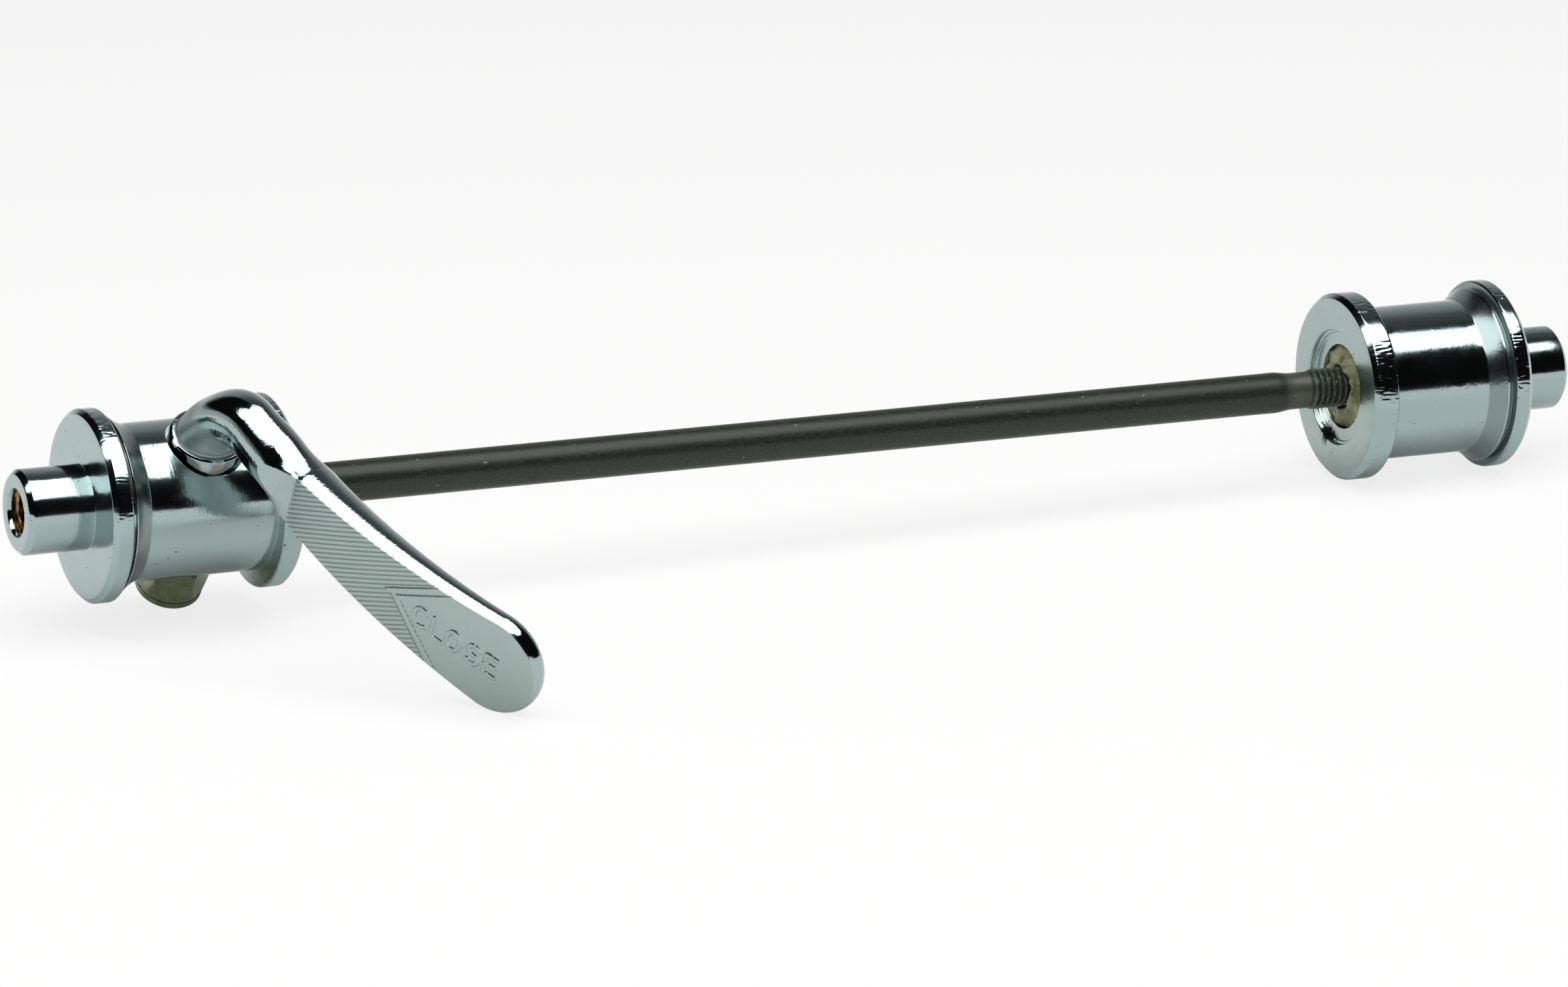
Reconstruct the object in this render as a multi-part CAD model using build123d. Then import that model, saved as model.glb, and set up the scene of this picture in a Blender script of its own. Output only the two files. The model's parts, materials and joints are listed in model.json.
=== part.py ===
from build123d import *

import os
from math import acos, atan2, cos, degrees, hypot, radians, sin, sqrt, tan

# Quick release skewer with spool ends, lying as it comes to rest. Millimetres.
# The rod's axis is X, from the lever end to the adjusting nut, and X = 0 is the cam housing's clamp face.
# Pieces are drawn with the cam shaft along Z and then rolled about the rod's axis into the resting pose.

# Rod
ROD_DIAMETER = 5.0
THREAD_DIAMETER = 4.9
NECK_DIAMETER = 4.5
GRIP_LENGTH = 140.8          # between the two clamp faces
NECK_LENGTH = 4.1            # plain rolled neck in front of the thread
NECK_TAPER = 1.4
THREAD_SHOWING = 3.8         # thread in front of the adjusting nut's face
THREAD_IN_NUT = 18.0
THREAD_CHAMFER = 0.6

# Spools
FLANGE_DIAMETER = 23.1
WAIST_DIAMETER = 18.8
STUB_DIAMETER = 10.25
EDGE_CHAMFER = 0.6
RIM_BREAK = 0.2
FLARE_LENGTH = 2.9           # flared root between the waist and the outer flange
FLARE_RISE = 1.4
FLARE_HOLLOW = 0.35          # how far the flare is hollowed below a straight cone

# Cam housing, the spool at the lever end
HOUSING_INNER_FLANGE = 2.7
HOUSING_WAIST_LENGTH = 18.9
HOUSING_OUTER_FLANGE = 2.5
HOUSING_STUB_LENGTH = 8.15
STUB_HOLE_DIAMETER = 4.2     # tapped M5
STUB_HOLE_DEPTH = 10.0
STUB_COUNTERSINK = 5.9

# Adjusting nut, the spool at the other end
NUT_INNER_FLANGE = 3.2
NUT_WAIST_LENGTH = 16.2
NUT_OUTER_FLANGE = 2.3
NUT_STUB_LENGTH = 8.2
NUT_BORE_SPARE = 3.0         # bore beyond the rod's end
RECESS_DIAMETER = 14.2
RECESS_DEPTH = 0.85
INSERT_DIAMETER = 10.4
INSERT_LENGTH = 3.4
INSERT_PROUD = 0.4           # how far the insert stands out of the recess floor
INSERT_ROUND = 0.35

# Cam shaft, forged in one with the lever
CAM_POSITION = 10.1          # from the clamp face to the cam shaft
CAM_THROW = 1.0              # eccentricity; the rod travels twice this
ECCENTRIC_DIAMETER = 6.5
JOURNAL_DIAMETER = 9.2
JOURNAL_PROUD = 0.9          # above the crown of the waist
JOURNAL_CHAMFER = 0.25
TAIL_DIAMETER = 5.8
TAIL_THREAD_DIAMETER = 4.9
TAIL_SHOULDER = 0.1          # tail journal beyond the spot face
SPOT_FACE_DIAMETER = 10.4
SPOT_FACE_DEPTH = 0.9

# Rod eye, inside the cam housing
EYE_DIAMETER = 10.84
EYE_PLAY = 0.35              # along the rod, round the eccentric
EYE_SIDE_PLAY = 0.15
EYE_END_WALL = 1.5
EYE_CONE_LENGTH = 2.0
BORE_END_ROOM = 0.4

# Washer and cap nut
WASHER_DIAMETER = 8.6
WASHER_THICKNESS = 0.8
CAP_NUT_FLATS = 8.0
CAP_NUT_HEX_HEIGHT = 5.6
CAP_NUT_DOME_HEIGHT = 1.4
CAP_NUT_DOME_DIAMETER = 7.9
CAP_NUT_WALL = 1.0
CAP_NUT_CHAMFER_ANGLE = 45.0
CAP_NUT_TURN = 36.0          # where the nut's corners came to when it was tightened

# Lever
HUB_DIAMETER = 7.7           # neck where it leaves the journal
HUB_ROOT = 0.2               # how deep the neck is rooted in the journal
BEND_RADIUS = 7.8            # neck's centre line, from the shaft to the arm
BEND_FLATTENING = 0.9        # how far the outer side of the bend is drawn in
ARM_ANGLE = 77.0             # closed arm at the bend, from the rod's direction
ARM_CURVE = 26.3             # turn of the arm towards the rod, bend to tip
ARM_LENGTH = 49.1            # bend to tip along the arm
NECK_WIDTH = 8.2
NECK_OUTBOARD = 2.9          # outboard side of the neck, from the arm's centre line
NECK_INBOARD = 3.6
NECK_FLAT = 3.6              # width of the neck's crowned outboard and inboard faces
NECK_CROWN = 0.6
RAMP_START = 4.6             # from the bend: neck begins to thin into the paddle
PADDLE_START = 10.8
PADDLE_DROP = 0.5            # centre of the paddle's width below the neck's
PADDLE_OUTBOARD = 2.2        # flat serrated face, from the arm's centre line
PADDLE_ROOT_INBOARD = 3.3    # back of the paddle, which thins towards the tip
PADDLE_TIP_INBOARD = 1.3
PADDLE_CROWN = 0.03
PADDLE_BACK_CROWN = 0.5
PADDLE_BACK_ROUND = 1.3      # rounded long edges of the inboard face
PADDLE_ROOT_WIDTH = 7.4
PADDLE_WIDTH = 13.2          # at the centre of the round tip
SIDE_BULGE = 0.5             # rounded sides beyond the flat face
BEND_STATIONS = 3            # sections drawn round the bend and along the arm
ARM_STATIONS = 11

# Fits
RUNNING_CLEARANCE = 0.05
SLIDING_CLEARANCE = 0.08
SEAT_CLEARANCE = 0.02
MOUTH_CLEARANCE = 0.3        # wider mouth round the journal, seen as a dark ring
MOUTH_DEPTH = 1.3
CAM_END_ROOM = 0.1           # below the eccentric, and round the tail's neck

# Worked out from the sizes above
WAIST_RADIUS = WAIST_DIAMETER / 2
FLANGE_RADIUS = FLANGE_DIAMETER / 2
JOURNAL_TOP = WAIST_RADIUS + JOURNAL_PROUD
SPOT_FACE_LEVEL = -(WAIST_RADIUS - SPOT_FACE_DEPTH)
SHOULDER_LEVEL = SPOT_FACE_LEVEL - TAIL_SHOULDER
NUT_SEAT_LEVEL = SHOULDER_LEVEL - WASHER_THICKNESS
CROWN_LEVEL = NUT_SEAT_LEVEL - CAP_NUT_HEX_HEIGHT - CAP_NUT_DOME_HEIGHT
DOME_RADIUS = CAP_NUT_DOME_DIAMETER / 2
BALL_RADIUS = (DOME_RADIUS ** 2 + CAP_NUT_DOME_HEIGHT ** 2) / (2 * CAP_NUT_DOME_HEIGHT)
BALL_LEVEL = CROWN_LEVEL + BALL_RADIUS
TAIL_END_LEVEL = CROWN_LEVEL + CAP_NUT_WALL + CAP_NUT_DOME_HEIGHT / 2
HOUSING_BORE_RADIUS = EYE_DIAMETER / 2 + SLIDING_CLEARANCE
CAM_X = -CAM_POSITION
EYE_X = CAM_X - CAM_THROW                 # lever closed: the rod is drawn towards the stub
EYE_HALF_LENGTH = ECCENTRIC_DIAMETER / 2 + EYE_PLAY
EYE_HALF_WIDTH = ECCENTRIC_DIAMETER / 2 + CAM_THROW + EYE_SIDE_PLAY
EYE_START = EYE_X - EYE_HALF_LENGTH - EYE_END_WALL
EYE_END = EYE_X + EYE_HALF_LENGTH + EYE_END_WALL
ROD_END = GRIP_LENGTH + THREAD_IN_NUT
BORE_WALL = HOUSING_BORE_RADIUS + SEAT_CLEARANCE
CAM_REACH = ECCENTRIC_DIAMETER / 2 + CAM_THROW
CAM_FOOT = CAM_END_ROOM - sqrt(HOUSING_BORE_RADIUS ** 2 - CAM_REACH ** 2)
TAIL_NECK_RADIUS = EYE_HALF_LENGTH - CAM_THROW - CAM_END_ROOM
NECK_LEVEL = JOURNAL_TOP + BEND_RADIUS
TIP_RADIUS = PADDLE_WIDTH / 2
TIP_START = ARM_LENGTH - TIP_RADIUS


def ramp_share(distance):
    """How much of the neck has turned into paddle at a distance from the bend, eased at both ends."""
    share = min(max((distance - RAMP_START) / (PADDLE_START - RAMP_START), 0), 1)
    return share * share * (3 - 2 * share)


def arm_point(distance):
    """Centre of the arm at a distance from the bend, and its direction there, as an angle from the rod."""
    start = radians(ARM_ANGLE)
    turn = radians(ARM_CURVE) / ARM_LENGTH
    angle = start - turn * distance
    along = BEND_RADIUS * cos(start) + (sin(start) - sin(angle)) / turn
    across = BEND_RADIUS * sin(start) + (cos(angle) - cos(start)) / turn
    return Vector(CAM_X + along, -across, NECK_LEVEL - PADDLE_DROP * ramp_share(distance)), angle


# The resting plane touches the cap nut's dome and the round tip of the lever.
TIP_POINT, TIP_ANGLE = arm_point(TIP_START)
TIP_OVER_BALL = TIP_POINT.Z - BALL_LEVEL
TIP_TO_BALL = hypot(TIP_OVER_BALL, TIP_POINT.Y)
REST_ROLL = degrees(acos((TIP_RADIUS - BALL_RADIUS) / TIP_TO_BALL) - atan2(-TIP_POINT.Y, TIP_OVER_BALL))
RESTING = Rot(X=REST_ROLL)


STANDING = (Align.CENTER, Align.CENTER, Align.MIN)


def turned(outline):
    """Solid of revolution about the rod's axis; the outline is drawn as (x, radius)."""
    return revolve(make_face(outline), axis=Axis.X)


def spun(outline):
    """Solid of revolution about the cam shaft; the outline is drawn as (radius, 0, level)."""
    return Pos(CAM_X, 0, 0) * revolve(make_face(outline), axis=Axis.Z)


def bar(start, end, radius):
    """Round bar along the rod's axis."""
    return Pos(start, 0, 0) * Rot(Y=90) * Cylinder(radius, end - start, align=STANDING)


def post(low, high, radius, x=CAM_X):
    """Round post along the cam shaft's direction."""
    return Pos(x, 0, low) * Cylinder(radius, high - low, align=STANDING)


def spool_outline(inner_flange, waist_length, outer_flange, stub_length):
    """Half profile of a spool from its clamp face at zero to the end of its stub, as (length, radius)."""
    waist_start = inner_flange
    waist_end = inner_flange + waist_length
    flare_start = waist_end - FLARE_LENGTH
    flange_end = waist_end + outer_flange
    stub_end = flange_end + stub_length
    stub_radius = STUB_DIAMETER / 2
    flare_middle = (flare_start + FLARE_LENGTH / 2, WAIST_RADIUS + FLARE_RISE / 2 - FLARE_HOLLOW)
    flare_top = (waist_end, WAIST_RADIUS + FLARE_RISE)
    clamp_side = Polyline(
        (0, 0),
        (0, FLANGE_RADIUS - EDGE_CHAMFER),
        (EDGE_CHAMFER, FLANGE_RADIUS),
        (waist_start - RIM_BREAK, FLANGE_RADIUS),
        (waist_start, FLANGE_RADIUS - RIM_BREAK),
        (waist_start, WAIST_RADIUS),
        (flare_start, WAIST_RADIUS),
    )
    flare = ThreePointArc((flare_start, WAIST_RADIUS), flare_middle, flare_top)
    stub_side = Polyline(
        flare_top,
        (waist_end, FLANGE_RADIUS - RIM_BREAK),
        (waist_end + RIM_BREAK, FLANGE_RADIUS),
        (flange_end - EDGE_CHAMFER, FLANGE_RADIUS),
        (flange_end, FLANGE_RADIUS - EDGE_CHAMFER),
        (flange_end, stub_radius),
        (stub_end - EDGE_CHAMFER, stub_radius),
        (stub_end, stub_radius - EDGE_CHAMFER),
        (stub_end, 0),
        (0, 0),
    )
    return clamp_side + flare + stub_side


def make_cam_housing():
    """Spool at the lever end: turned outside, bored for the rod's eye and cross drilled for the cam shaft."""
    outline = spool_outline(
        HOUSING_INNER_FLANGE, HOUSING_WAIST_LENGTH, HOUSING_OUTER_FLANGE, HOUSING_STUB_LENGTH
    )
    spool = mirror(turned(outline), about=Plane.YZ)
    stub_end = -(HOUSING_INNER_FLANGE + HOUSING_WAIST_LENGTH + HOUSING_OUTER_FLANGE + HOUSING_STUB_LENGTH)
    eye_bore = bar(EYE_START - BORE_END_ROOM, FLANGE_RADIUS, HOUSING_BORE_RADIUS)
    stub_hole = bar(stub_end - EDGE_CHAMFER, stub_end + STUB_HOLE_DEPTH, STUB_HOLE_DIAMETER / 2)
    sink = (STUB_COUNTERSINK - STUB_HOLE_DIAMETER) / 2
    countersink = turned(
        Polyline((stub_end, 0), (stub_end, STUB_COUNTERSINK / 2), (stub_end + sink, STUB_HOLE_DIAMETER / 2),
                 (stub_end + sink, 0), (stub_end, 0))
    )
    journal_radius = JOURNAL_DIAMETER / 2 + RUNNING_CLEARANCE
    journal_hole = post(0, FLANGE_DIAMETER, journal_radius)
    mouth = post(JOURNAL_TOP - JOURNAL_PROUD - MOUTH_DEPTH, FLANGE_DIAMETER, journal_radius + MOUTH_CLEARANCE)
    tail_hole = post(-FLANGE_DIAMETER, 0, TAIL_DIAMETER / 2 + RUNNING_CLEARANCE)
    spot_face = post(-FLANGE_DIAMETER, SPOT_FACE_LEVEL, SPOT_FACE_DIAMETER / 2)
    return spool - eye_bore - stub_hole - countersink - journal_hole - mouth - tail_hole - spot_face


def lever_section(plane, form):
    """Section of the lever: crowned outboard and inboard faces between two rounded sides."""
    outboard, crown, half_flat, half_width, inboard, back_crown, half_back = form
    face = crown - outboard
    back = inboard - back_crown
    middle = (inboard - outboard) / 2
    outboard_face = ThreePointArc((face, -half_flat), (-outboard, 0), (face, half_flat))
    upper_side = ThreePointArc((face, half_flat), (middle, half_width), (back, half_back))
    inboard_face = ThreePointArc((back, half_back), (inboard, 0), (back, -half_back))
    lower_side = ThreePointArc((back, -half_back), (middle, -half_width), (face, -half_flat))
    return plane * make_face([outboard_face, upper_side, inboard_face, lower_side])


def mixed(first, second, share):
    """Form part of the way from one section to another."""
    return [a + (b - a) * share for a, b in zip(first, second)]


def hub_form():
    """Round section of the neck where it leaves the journal, as four arcs that meet at half its radius."""
    radius = HUB_DIAMETER / 2
    half_face = radius / 2
    crown = radius - sqrt(radius ** 2 - half_face ** 2)
    return radius, crown, half_face, radius, radius, crown, half_face


def neck_form():
    """Oval section of the neck."""
    half_flat = NECK_FLAT / 2
    return NECK_OUTBOARD, NECK_CROWN, half_flat, NECK_WIDTH / 2, NECK_INBOARD, NECK_CROWN, half_flat


def paddle_form(share):
    """Section of the paddle part of the way to its tip: a flat face, rounded sides and a crowned back."""
    half_width = (PADDLE_ROOT_WIDTH + (PADDLE_WIDTH - PADDLE_ROOT_WIDTH) * share) / 2
    inboard = PADDLE_ROOT_INBOARD + (PADDLE_TIP_INBOARD - PADDLE_ROOT_INBOARD) * share
    half_flat = half_width - SIDE_BULGE
    half_back = half_width - PADDLE_BACK_ROUND
    return PADDLE_OUTBOARD, PADDLE_CROWN, half_flat, half_width, inboard, PADDLE_BACK_CROWN, half_back


def arm_form(distance):
    """Section of the arm: the neck thins into the paddle over the ramp, and the paddle widens to the tip."""
    share = min(max((distance - PADDLE_START) / (TIP_START - PADDLE_START), 0), 1)
    return mixed(neck_form(), paddle_form(share), ramp_share(distance))


def bend_section(share):
    """Section part of the way round the bend, from the round hub to the neck."""
    start = radians(ARM_ANGLE)
    outward = Vector(cos(start), -sin(start), 0)
    up = Vector(0, 0, 1)
    angle = radians(90) * share
    drawn_in = BEND_FLATTENING * sin(2 * angle) * cos(angle)
    radius = BEND_RADIUS - drawn_in
    foot = Vector(CAM_X, 0, JOURNAL_TOP)
    centre = foot + outward * (BEND_RADIUS - radius * cos(angle)) + up * (radius * sin(angle))
    direction = outward * sin(angle) + up * cos(angle)
    plane = Plane(origin=centre, x_dir=(sin(start), cos(start), 0), z_dir=direction)
    form = mixed(hub_form(), neck_form(), share)
    outboard, crown, half_flat, half_width, inboard, back_crown, half_back = form
    narrowed = (outboard, crown, half_flat, half_width - drawn_in, inboard, back_crown, half_back)
    return lever_section(plane, narrowed)


def arm_section(distance):
    """Section of the arm at a distance from the bend."""
    centre, angle = arm_point(distance)
    plane = Plane(origin=centre, x_dir=(sin(angle), cos(angle), 0), z_dir=(cos(angle), -sin(angle), 0))
    return lever_section(plane, arm_form(distance))


def arc_fall(crown, half_width, across):
    """How far a crowned arc has fallen at a distance across from its middle."""
    radius = (half_width ** 2 + crown ** 2) / (2 * crown)
    return radius - sqrt(radius ** 2 - across ** 2)


def make_lever_tip():
    """Round tip: the upper half of the paddle's last section turned half a circle about the tip's centre."""
    outboard, crown, half_flat, half_width, inboard, back_crown, half_back = arm_form(TIP_START)
    face = crown - outboard
    back = inboard - back_crown
    face_middle = (arc_fall(crown, half_flat, half_flat / 2) - outboard, half_flat / 2)
    back_middle = (inboard - arc_fall(back_crown, half_back, half_back / 2), half_back / 2)
    outline = [
        ThreePointArc((-outboard, 0), face_middle, (face, half_flat)),
        ThreePointArc((face, half_flat), ((inboard - outboard) / 2, half_width), (back, half_back)),
        ThreePointArc((back, half_back), back_middle, (inboard, 0)),
        Line((inboard, 0), (-outboard, 0)),
    ]
    inward = (sin(TIP_ANGLE), cos(TIP_ANGLE), 0)
    plane = Plane(origin=TIP_POINT, x_dir=inward, z_dir=(cos(TIP_ANGLE), -sin(TIP_ANGLE), 0))
    return revolve(plane * make_face(outline), axis=Axis(TIP_POINT, inward), revolution_arc=180)


def make_lever_arm():
    """Neck bent out of the cam shaft into an arm that flattens to a paddle with a round tip."""
    sections = [bend_section(station / BEND_STATIONS) for station in range(BEND_STATIONS)]
    sections[0] = Pos(0, 0, -HUB_ROOT) * sections[0]
    sections += [arm_section(TIP_START * station / ARM_STATIONS) for station in range(ARM_STATIONS + 1)]
    return loft(sections) + make_lever_tip()


def make_release_lever():
    """Lever and cam shaft in one: journal, eccentric, tail journal and threaded tail below the bent arm."""
    journal = chamfer(
        post(BORE_WALL, JOURNAL_TOP, JOURNAL_DIAMETER / 2).edges().group_by(Axis.Z)[-1], JOURNAL_CHAMFER
    )
    eccentric = post(CAM_FOOT, BORE_WALL, ECCENTRIC_DIAMETER / 2, x=EYE_X)
    tail_neck = post(-BORE_WALL, CAM_FOOT, TAIL_NECK_RADIUS)
    tail = post(SHOULDER_LEVEL, -BORE_WALL, TAIL_DIAMETER / 2)
    tail_thread = post(TAIL_END_LEVEL, SHOULDER_LEVEL, TAIL_THREAD_DIAMETER / 2)
    return make_lever_arm() + journal + eccentric + tail_neck + tail + tail_thread


def make_cam_washer():
    """Plain washer between the tail's shoulder and the cap nut."""
    disc = post(NUT_SEAT_LEVEL, SHOULDER_LEVEL, WASHER_DIAMETER / 2)
    return disc - post(NUT_SEAT_LEVEL, SHOULDER_LEVEL, TAIL_THREAD_DIAMETER / 2 + RUNNING_CLEARANCE)


def make_cam_cap_nut():
    """Hexagon cap nut with a low dome, blind bored over the threaded tail."""
    hex_end = NUT_SEAT_LEVEL - CAP_NUT_HEX_HEIGHT
    flat_radius = CAP_NUT_FLATS / 2
    hexagon = RegularPolygon(flat_radius, 6, major_radius=False, rotation=CAP_NUT_TURN)
    block = Pos(CAM_X, 0, hex_end) * extrude(hexagon, amount=CAP_NUT_HEX_HEIGHT)
    cone_reach = CAP_NUT_HEX_HEIGHT / tan(radians(CAP_NUT_CHAMFER_ANGLE))
    corner_cone = spun(
        Polyline(
            (0, 0, NUT_SEAT_LEVEL),
            (flat_radius + cone_reach, 0, NUT_SEAT_LEVEL),
            (flat_radius, 0, hex_end),
            (0, 0, hex_end),
            (0, 0, NUT_SEAT_LEVEL),
        )
    )
    dome = Pos(CAM_X, 0, BALL_LEVEL) * Sphere(BALL_RADIUS) & post(CROWN_LEVEL, NUT_SEAT_LEVEL, DOME_RADIUS)
    bore = post(TAIL_END_LEVEL, NUT_SEAT_LEVEL, TAIL_THREAD_DIAMETER / 2 + SEAT_CLEARANCE)
    return (block & corner_cone) + dome - bore


def make_skewer_rod():
    """Rod with an eye round the eccentric, a plain shank, a rolled neck and a threaded end."""
    thread_start = GRIP_LENGTH - THREAD_SHOWING
    neck_start = thread_start - NECK_LENGTH
    rod_radius = ROD_DIAMETER / 2
    outline = Polyline(
        (EYE_START, 0),
        (EYE_START, EYE_DIAMETER / 2),
        (EYE_END, EYE_DIAMETER / 2),
        (EYE_END + EYE_CONE_LENGTH, rod_radius),
        (neck_start, rod_radius),
        (neck_start + NECK_TAPER, NECK_DIAMETER / 2),
        (thread_start, NECK_DIAMETER / 2),
        (thread_start, THREAD_DIAMETER / 2),
        (ROD_END - THREAD_CHAMFER, THREAD_DIAMETER / 2),
        (ROD_END, THREAD_DIAMETER / 2 - THREAD_CHAMFER),
        (ROD_END, 0),
        (EYE_START, 0),
    )
    slot = Pos(EYE_X, 0, 0) * Rot(Z=90) * SlotOverall(2 * EYE_HALF_WIDTH, 2 * EYE_HALF_LENGTH)
    return turned(outline) - extrude(slot, amount=EYE_DIAMETER, both=True)


def make_adjusting_nut():
    """Spool at the far end: bored for the rod's thread, with a recess and a pocket for the insert."""
    outline = spool_outline(NUT_INNER_FLANGE, NUT_WAIST_LENGTH, NUT_OUTER_FLANGE, NUT_STUB_LENGTH)
    spool = Pos(GRIP_LENGTH, 0, 0) * turned(outline)
    recess_floor = GRIP_LENGTH + RECESS_DEPTH
    pocket_end = recess_floor - INSERT_PROUD + INSERT_LENGTH
    recess = bar(GRIP_LENGTH - RECESS_DEPTH, recess_floor, RECESS_DIAMETER / 2)
    pocket = bar(GRIP_LENGTH, pocket_end, INSERT_DIAMETER / 2 + SEAT_CLEARANCE)
    thread_bore = bar(GRIP_LENGTH, ROD_END + NUT_BORE_SPARE, THREAD_DIAMETER / 2 + RUNNING_CLEARANCE)
    return spool - recess - pocket - thread_bore


def make_lock_insert():
    """Nylon ring in the adjusting nut's pocket, round the thread."""
    front = GRIP_LENGTH + RECESS_DEPTH - INSERT_PROUD
    ring = bar(front, front + INSERT_LENGTH, INSERT_DIAMETER / 2)
    ring = ring - bar(front, front + INSERT_LENGTH, THREAD_DIAMETER / 2 + RUNNING_CLEARANCE)
    return fillet(ring.edges().group_by(Axis.X)[0].sort_by(SortBy.RADIUS)[-1], INSERT_ROUND)


PIECES = {
    "cam_housing": make_cam_housing,
    "release_lever": make_release_lever,
    "cam_washer": make_cam_washer,
    "cam_cap_nut": make_cam_cap_nut,
    "skewer_rod": make_skewer_rod,
    "adjusting_nut": make_adjusting_nut,
    "lock_insert": make_lock_insert,
}

os.makedirs("parts", exist_ok=True)
for name, make in PIECES.items():
    export_step(RESTING * make(), f"parts/{name}.step")
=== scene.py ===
# %% [markdown]
# # A quick release skewer in bright plate
# A steel rod runs through a wheel's hollow axle, with a spool at each end. The lever turns a cam shaft
# in the left spool, and that draws the rod in and clamps the wheel. The CAD model is loaded first and
# stays the measure of everything: each new surface below is laid over the solid that it stands for.

# %% Load the frame
import json
from functools import partial
from math import atan2, degrees, pi, radians, sqrt

import bmesh
import bpy
import numpy as np
from mathutils import Matrix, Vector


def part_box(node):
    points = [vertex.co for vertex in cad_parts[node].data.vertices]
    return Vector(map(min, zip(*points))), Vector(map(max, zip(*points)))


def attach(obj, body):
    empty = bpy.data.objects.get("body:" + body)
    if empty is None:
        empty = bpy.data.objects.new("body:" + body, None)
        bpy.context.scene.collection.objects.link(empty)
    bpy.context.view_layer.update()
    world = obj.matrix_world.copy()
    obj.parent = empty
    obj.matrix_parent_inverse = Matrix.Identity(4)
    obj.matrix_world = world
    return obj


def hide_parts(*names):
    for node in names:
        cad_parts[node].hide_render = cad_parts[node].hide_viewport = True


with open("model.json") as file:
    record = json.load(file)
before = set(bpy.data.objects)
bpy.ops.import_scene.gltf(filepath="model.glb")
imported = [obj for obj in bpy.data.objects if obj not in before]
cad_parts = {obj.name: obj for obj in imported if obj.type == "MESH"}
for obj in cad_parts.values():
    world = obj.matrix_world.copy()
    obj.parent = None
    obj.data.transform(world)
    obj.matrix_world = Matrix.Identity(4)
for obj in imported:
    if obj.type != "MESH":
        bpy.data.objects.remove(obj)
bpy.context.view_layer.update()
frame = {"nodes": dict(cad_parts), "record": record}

# %% [markdown]
# Everything is worked out in millimetres in the pose in which the lever would be drawn on a bench, with
# the cam shaft standing along Z. The record's hinge says how far the skewer has rolled from there to its
# resting pose, so one matrix takes any array of points from the bench into the frame.

# %% From the bench to the frame
MM = 1000.0
pivot = next(joint for joint in frame["record"]["behaviour"]["joints"] if joint["name"] == "lever_pivot")
REST_ROLL = atan2(pivot["axis"][1], -pivot["axis"][2])
CAM_X = pivot["pos_m"][0] * MM
ROLL = np.array(Matrix.Rotation(REST_ROLL, 3, "X"))
HOUSING_LOW, HOUSING_HIGH = (np.array(corner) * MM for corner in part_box("cam_housing"))
NUT_LOW, NUT_HIGH = (np.array(corner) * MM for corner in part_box("adjusting_nut"))
FLANGE_RADIUS = (HOUSING_HIGH[2] - HOUSING_LOW[2]) / 2
GRIP = NUT_LOW[0]


def to_frame(points):
    """Bench millimetres to frame metres: a roll about the rod's axis and a change of unit."""
    return points @ ROLL.T / MM


print("roll", round(degrees(REST_ROLL), 3), "cam shaft at", CAM_X, "grip", round(GRIP, 2))

# %% [markdown]
# Each piece is one or more closed shells. A shell is a grid of points: rows follow a profile or a path,
# columns go round it and close on themselves. Faces are index arithmetic on the whole grid, and the sign
# of the enclosed volume tells whether they point outwards.

# %% Shells and pieces
def shell(grid, ends=None, **marks):
    """Closed shell: quads between neighbouring rings, and a fan of triangles to each end point.

    With no ends the last ring joins the first. An end that is None folds shut on itself. A mark is one
    number per grid point, kept as an attribute that a material reads.
    """
    rows, columns = grid.shape[:2]
    here = np.arange(columns)
    after = np.roll(here, -1)
    row = np.arange(rows - (ends is not None))[:, None] * columns
    ahead = (row + columns) % (rows * columns)
    quads = np.stack([row + here, row + after, ahead + after, ahead + here], -1).reshape(-1, 4)
    points = grid.reshape(-1, 3)
    fans = [np.empty((0, 3), int)]
    for end, start, order in zip(ends or [], (0, (rows - 1) * columns), (1, -1)):
        if end is not None:
            fan = np.stack([np.full(columns, len(points)), start + after, start + here], -1)
            fans.append(np.roll(fan[:, ::order], 0 if order == 1 else 1, axis=1))
            points = np.vstack([points, end])
    fans = np.vstack(fans)
    triangles = np.vstack([quads[:, [0, 1, 2]], quads[:, [0, 2, 3]], fans])
    a, b, c = (points[triangles[:, corner]] for corner in range(3))
    turn = 1 if np.einsum("ij,ij->", a, np.cross(b, c)) > 0 else -1
    spare = np.zeros(len(points) - rows * columns)
    marks = {name: np.append(np.broadcast_to(value, (rows, columns)), spare)
             for name, value in marks.items()}
    return points, quads[:, ::turn], fans[:, ::turn], marks


def piece(name, shells, material, sharp=40):
    """One mesh object from several shells, its place in the mesh, with edges kept crisp past an angle."""
    starts = np.cumsum([0] + [len(made[0]) for made in shells])
    faces = []
    for start, made in zip(starts, shells):
        faces += (made[1] + start).tolist() + (made[2] + start).tolist()
    mesh = bpy.data.meshes.new(name)
    mesh.from_pydata(to_frame(np.vstack([made[0] for made in shells])).tolist(), [], faces)
    for mark in sorted({mark for made in shells for mark in made[3]}):
        values = [made[3].get(mark, np.zeros(len(made[0]))) for made in shells]
        layer = mesh.attributes.new(mark, "FLOAT", "POINT")
        layer.data.foreach_set("value", np.concatenate(values).astype(np.float32))
    merged = bmesh.new()
    merged.from_mesh(mesh)
    bmesh.ops.remove_doubles(merged, verts=merged.verts, dist=1e-7)
    merged.to_mesh(mesh)
    merged.free()
    made = bpy.data.objects.new(name, mesh)
    bpy.context.collection.objects.link(made)
    mesh.materials.append(material)
    smooth(made, sharp)
    return made


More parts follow.
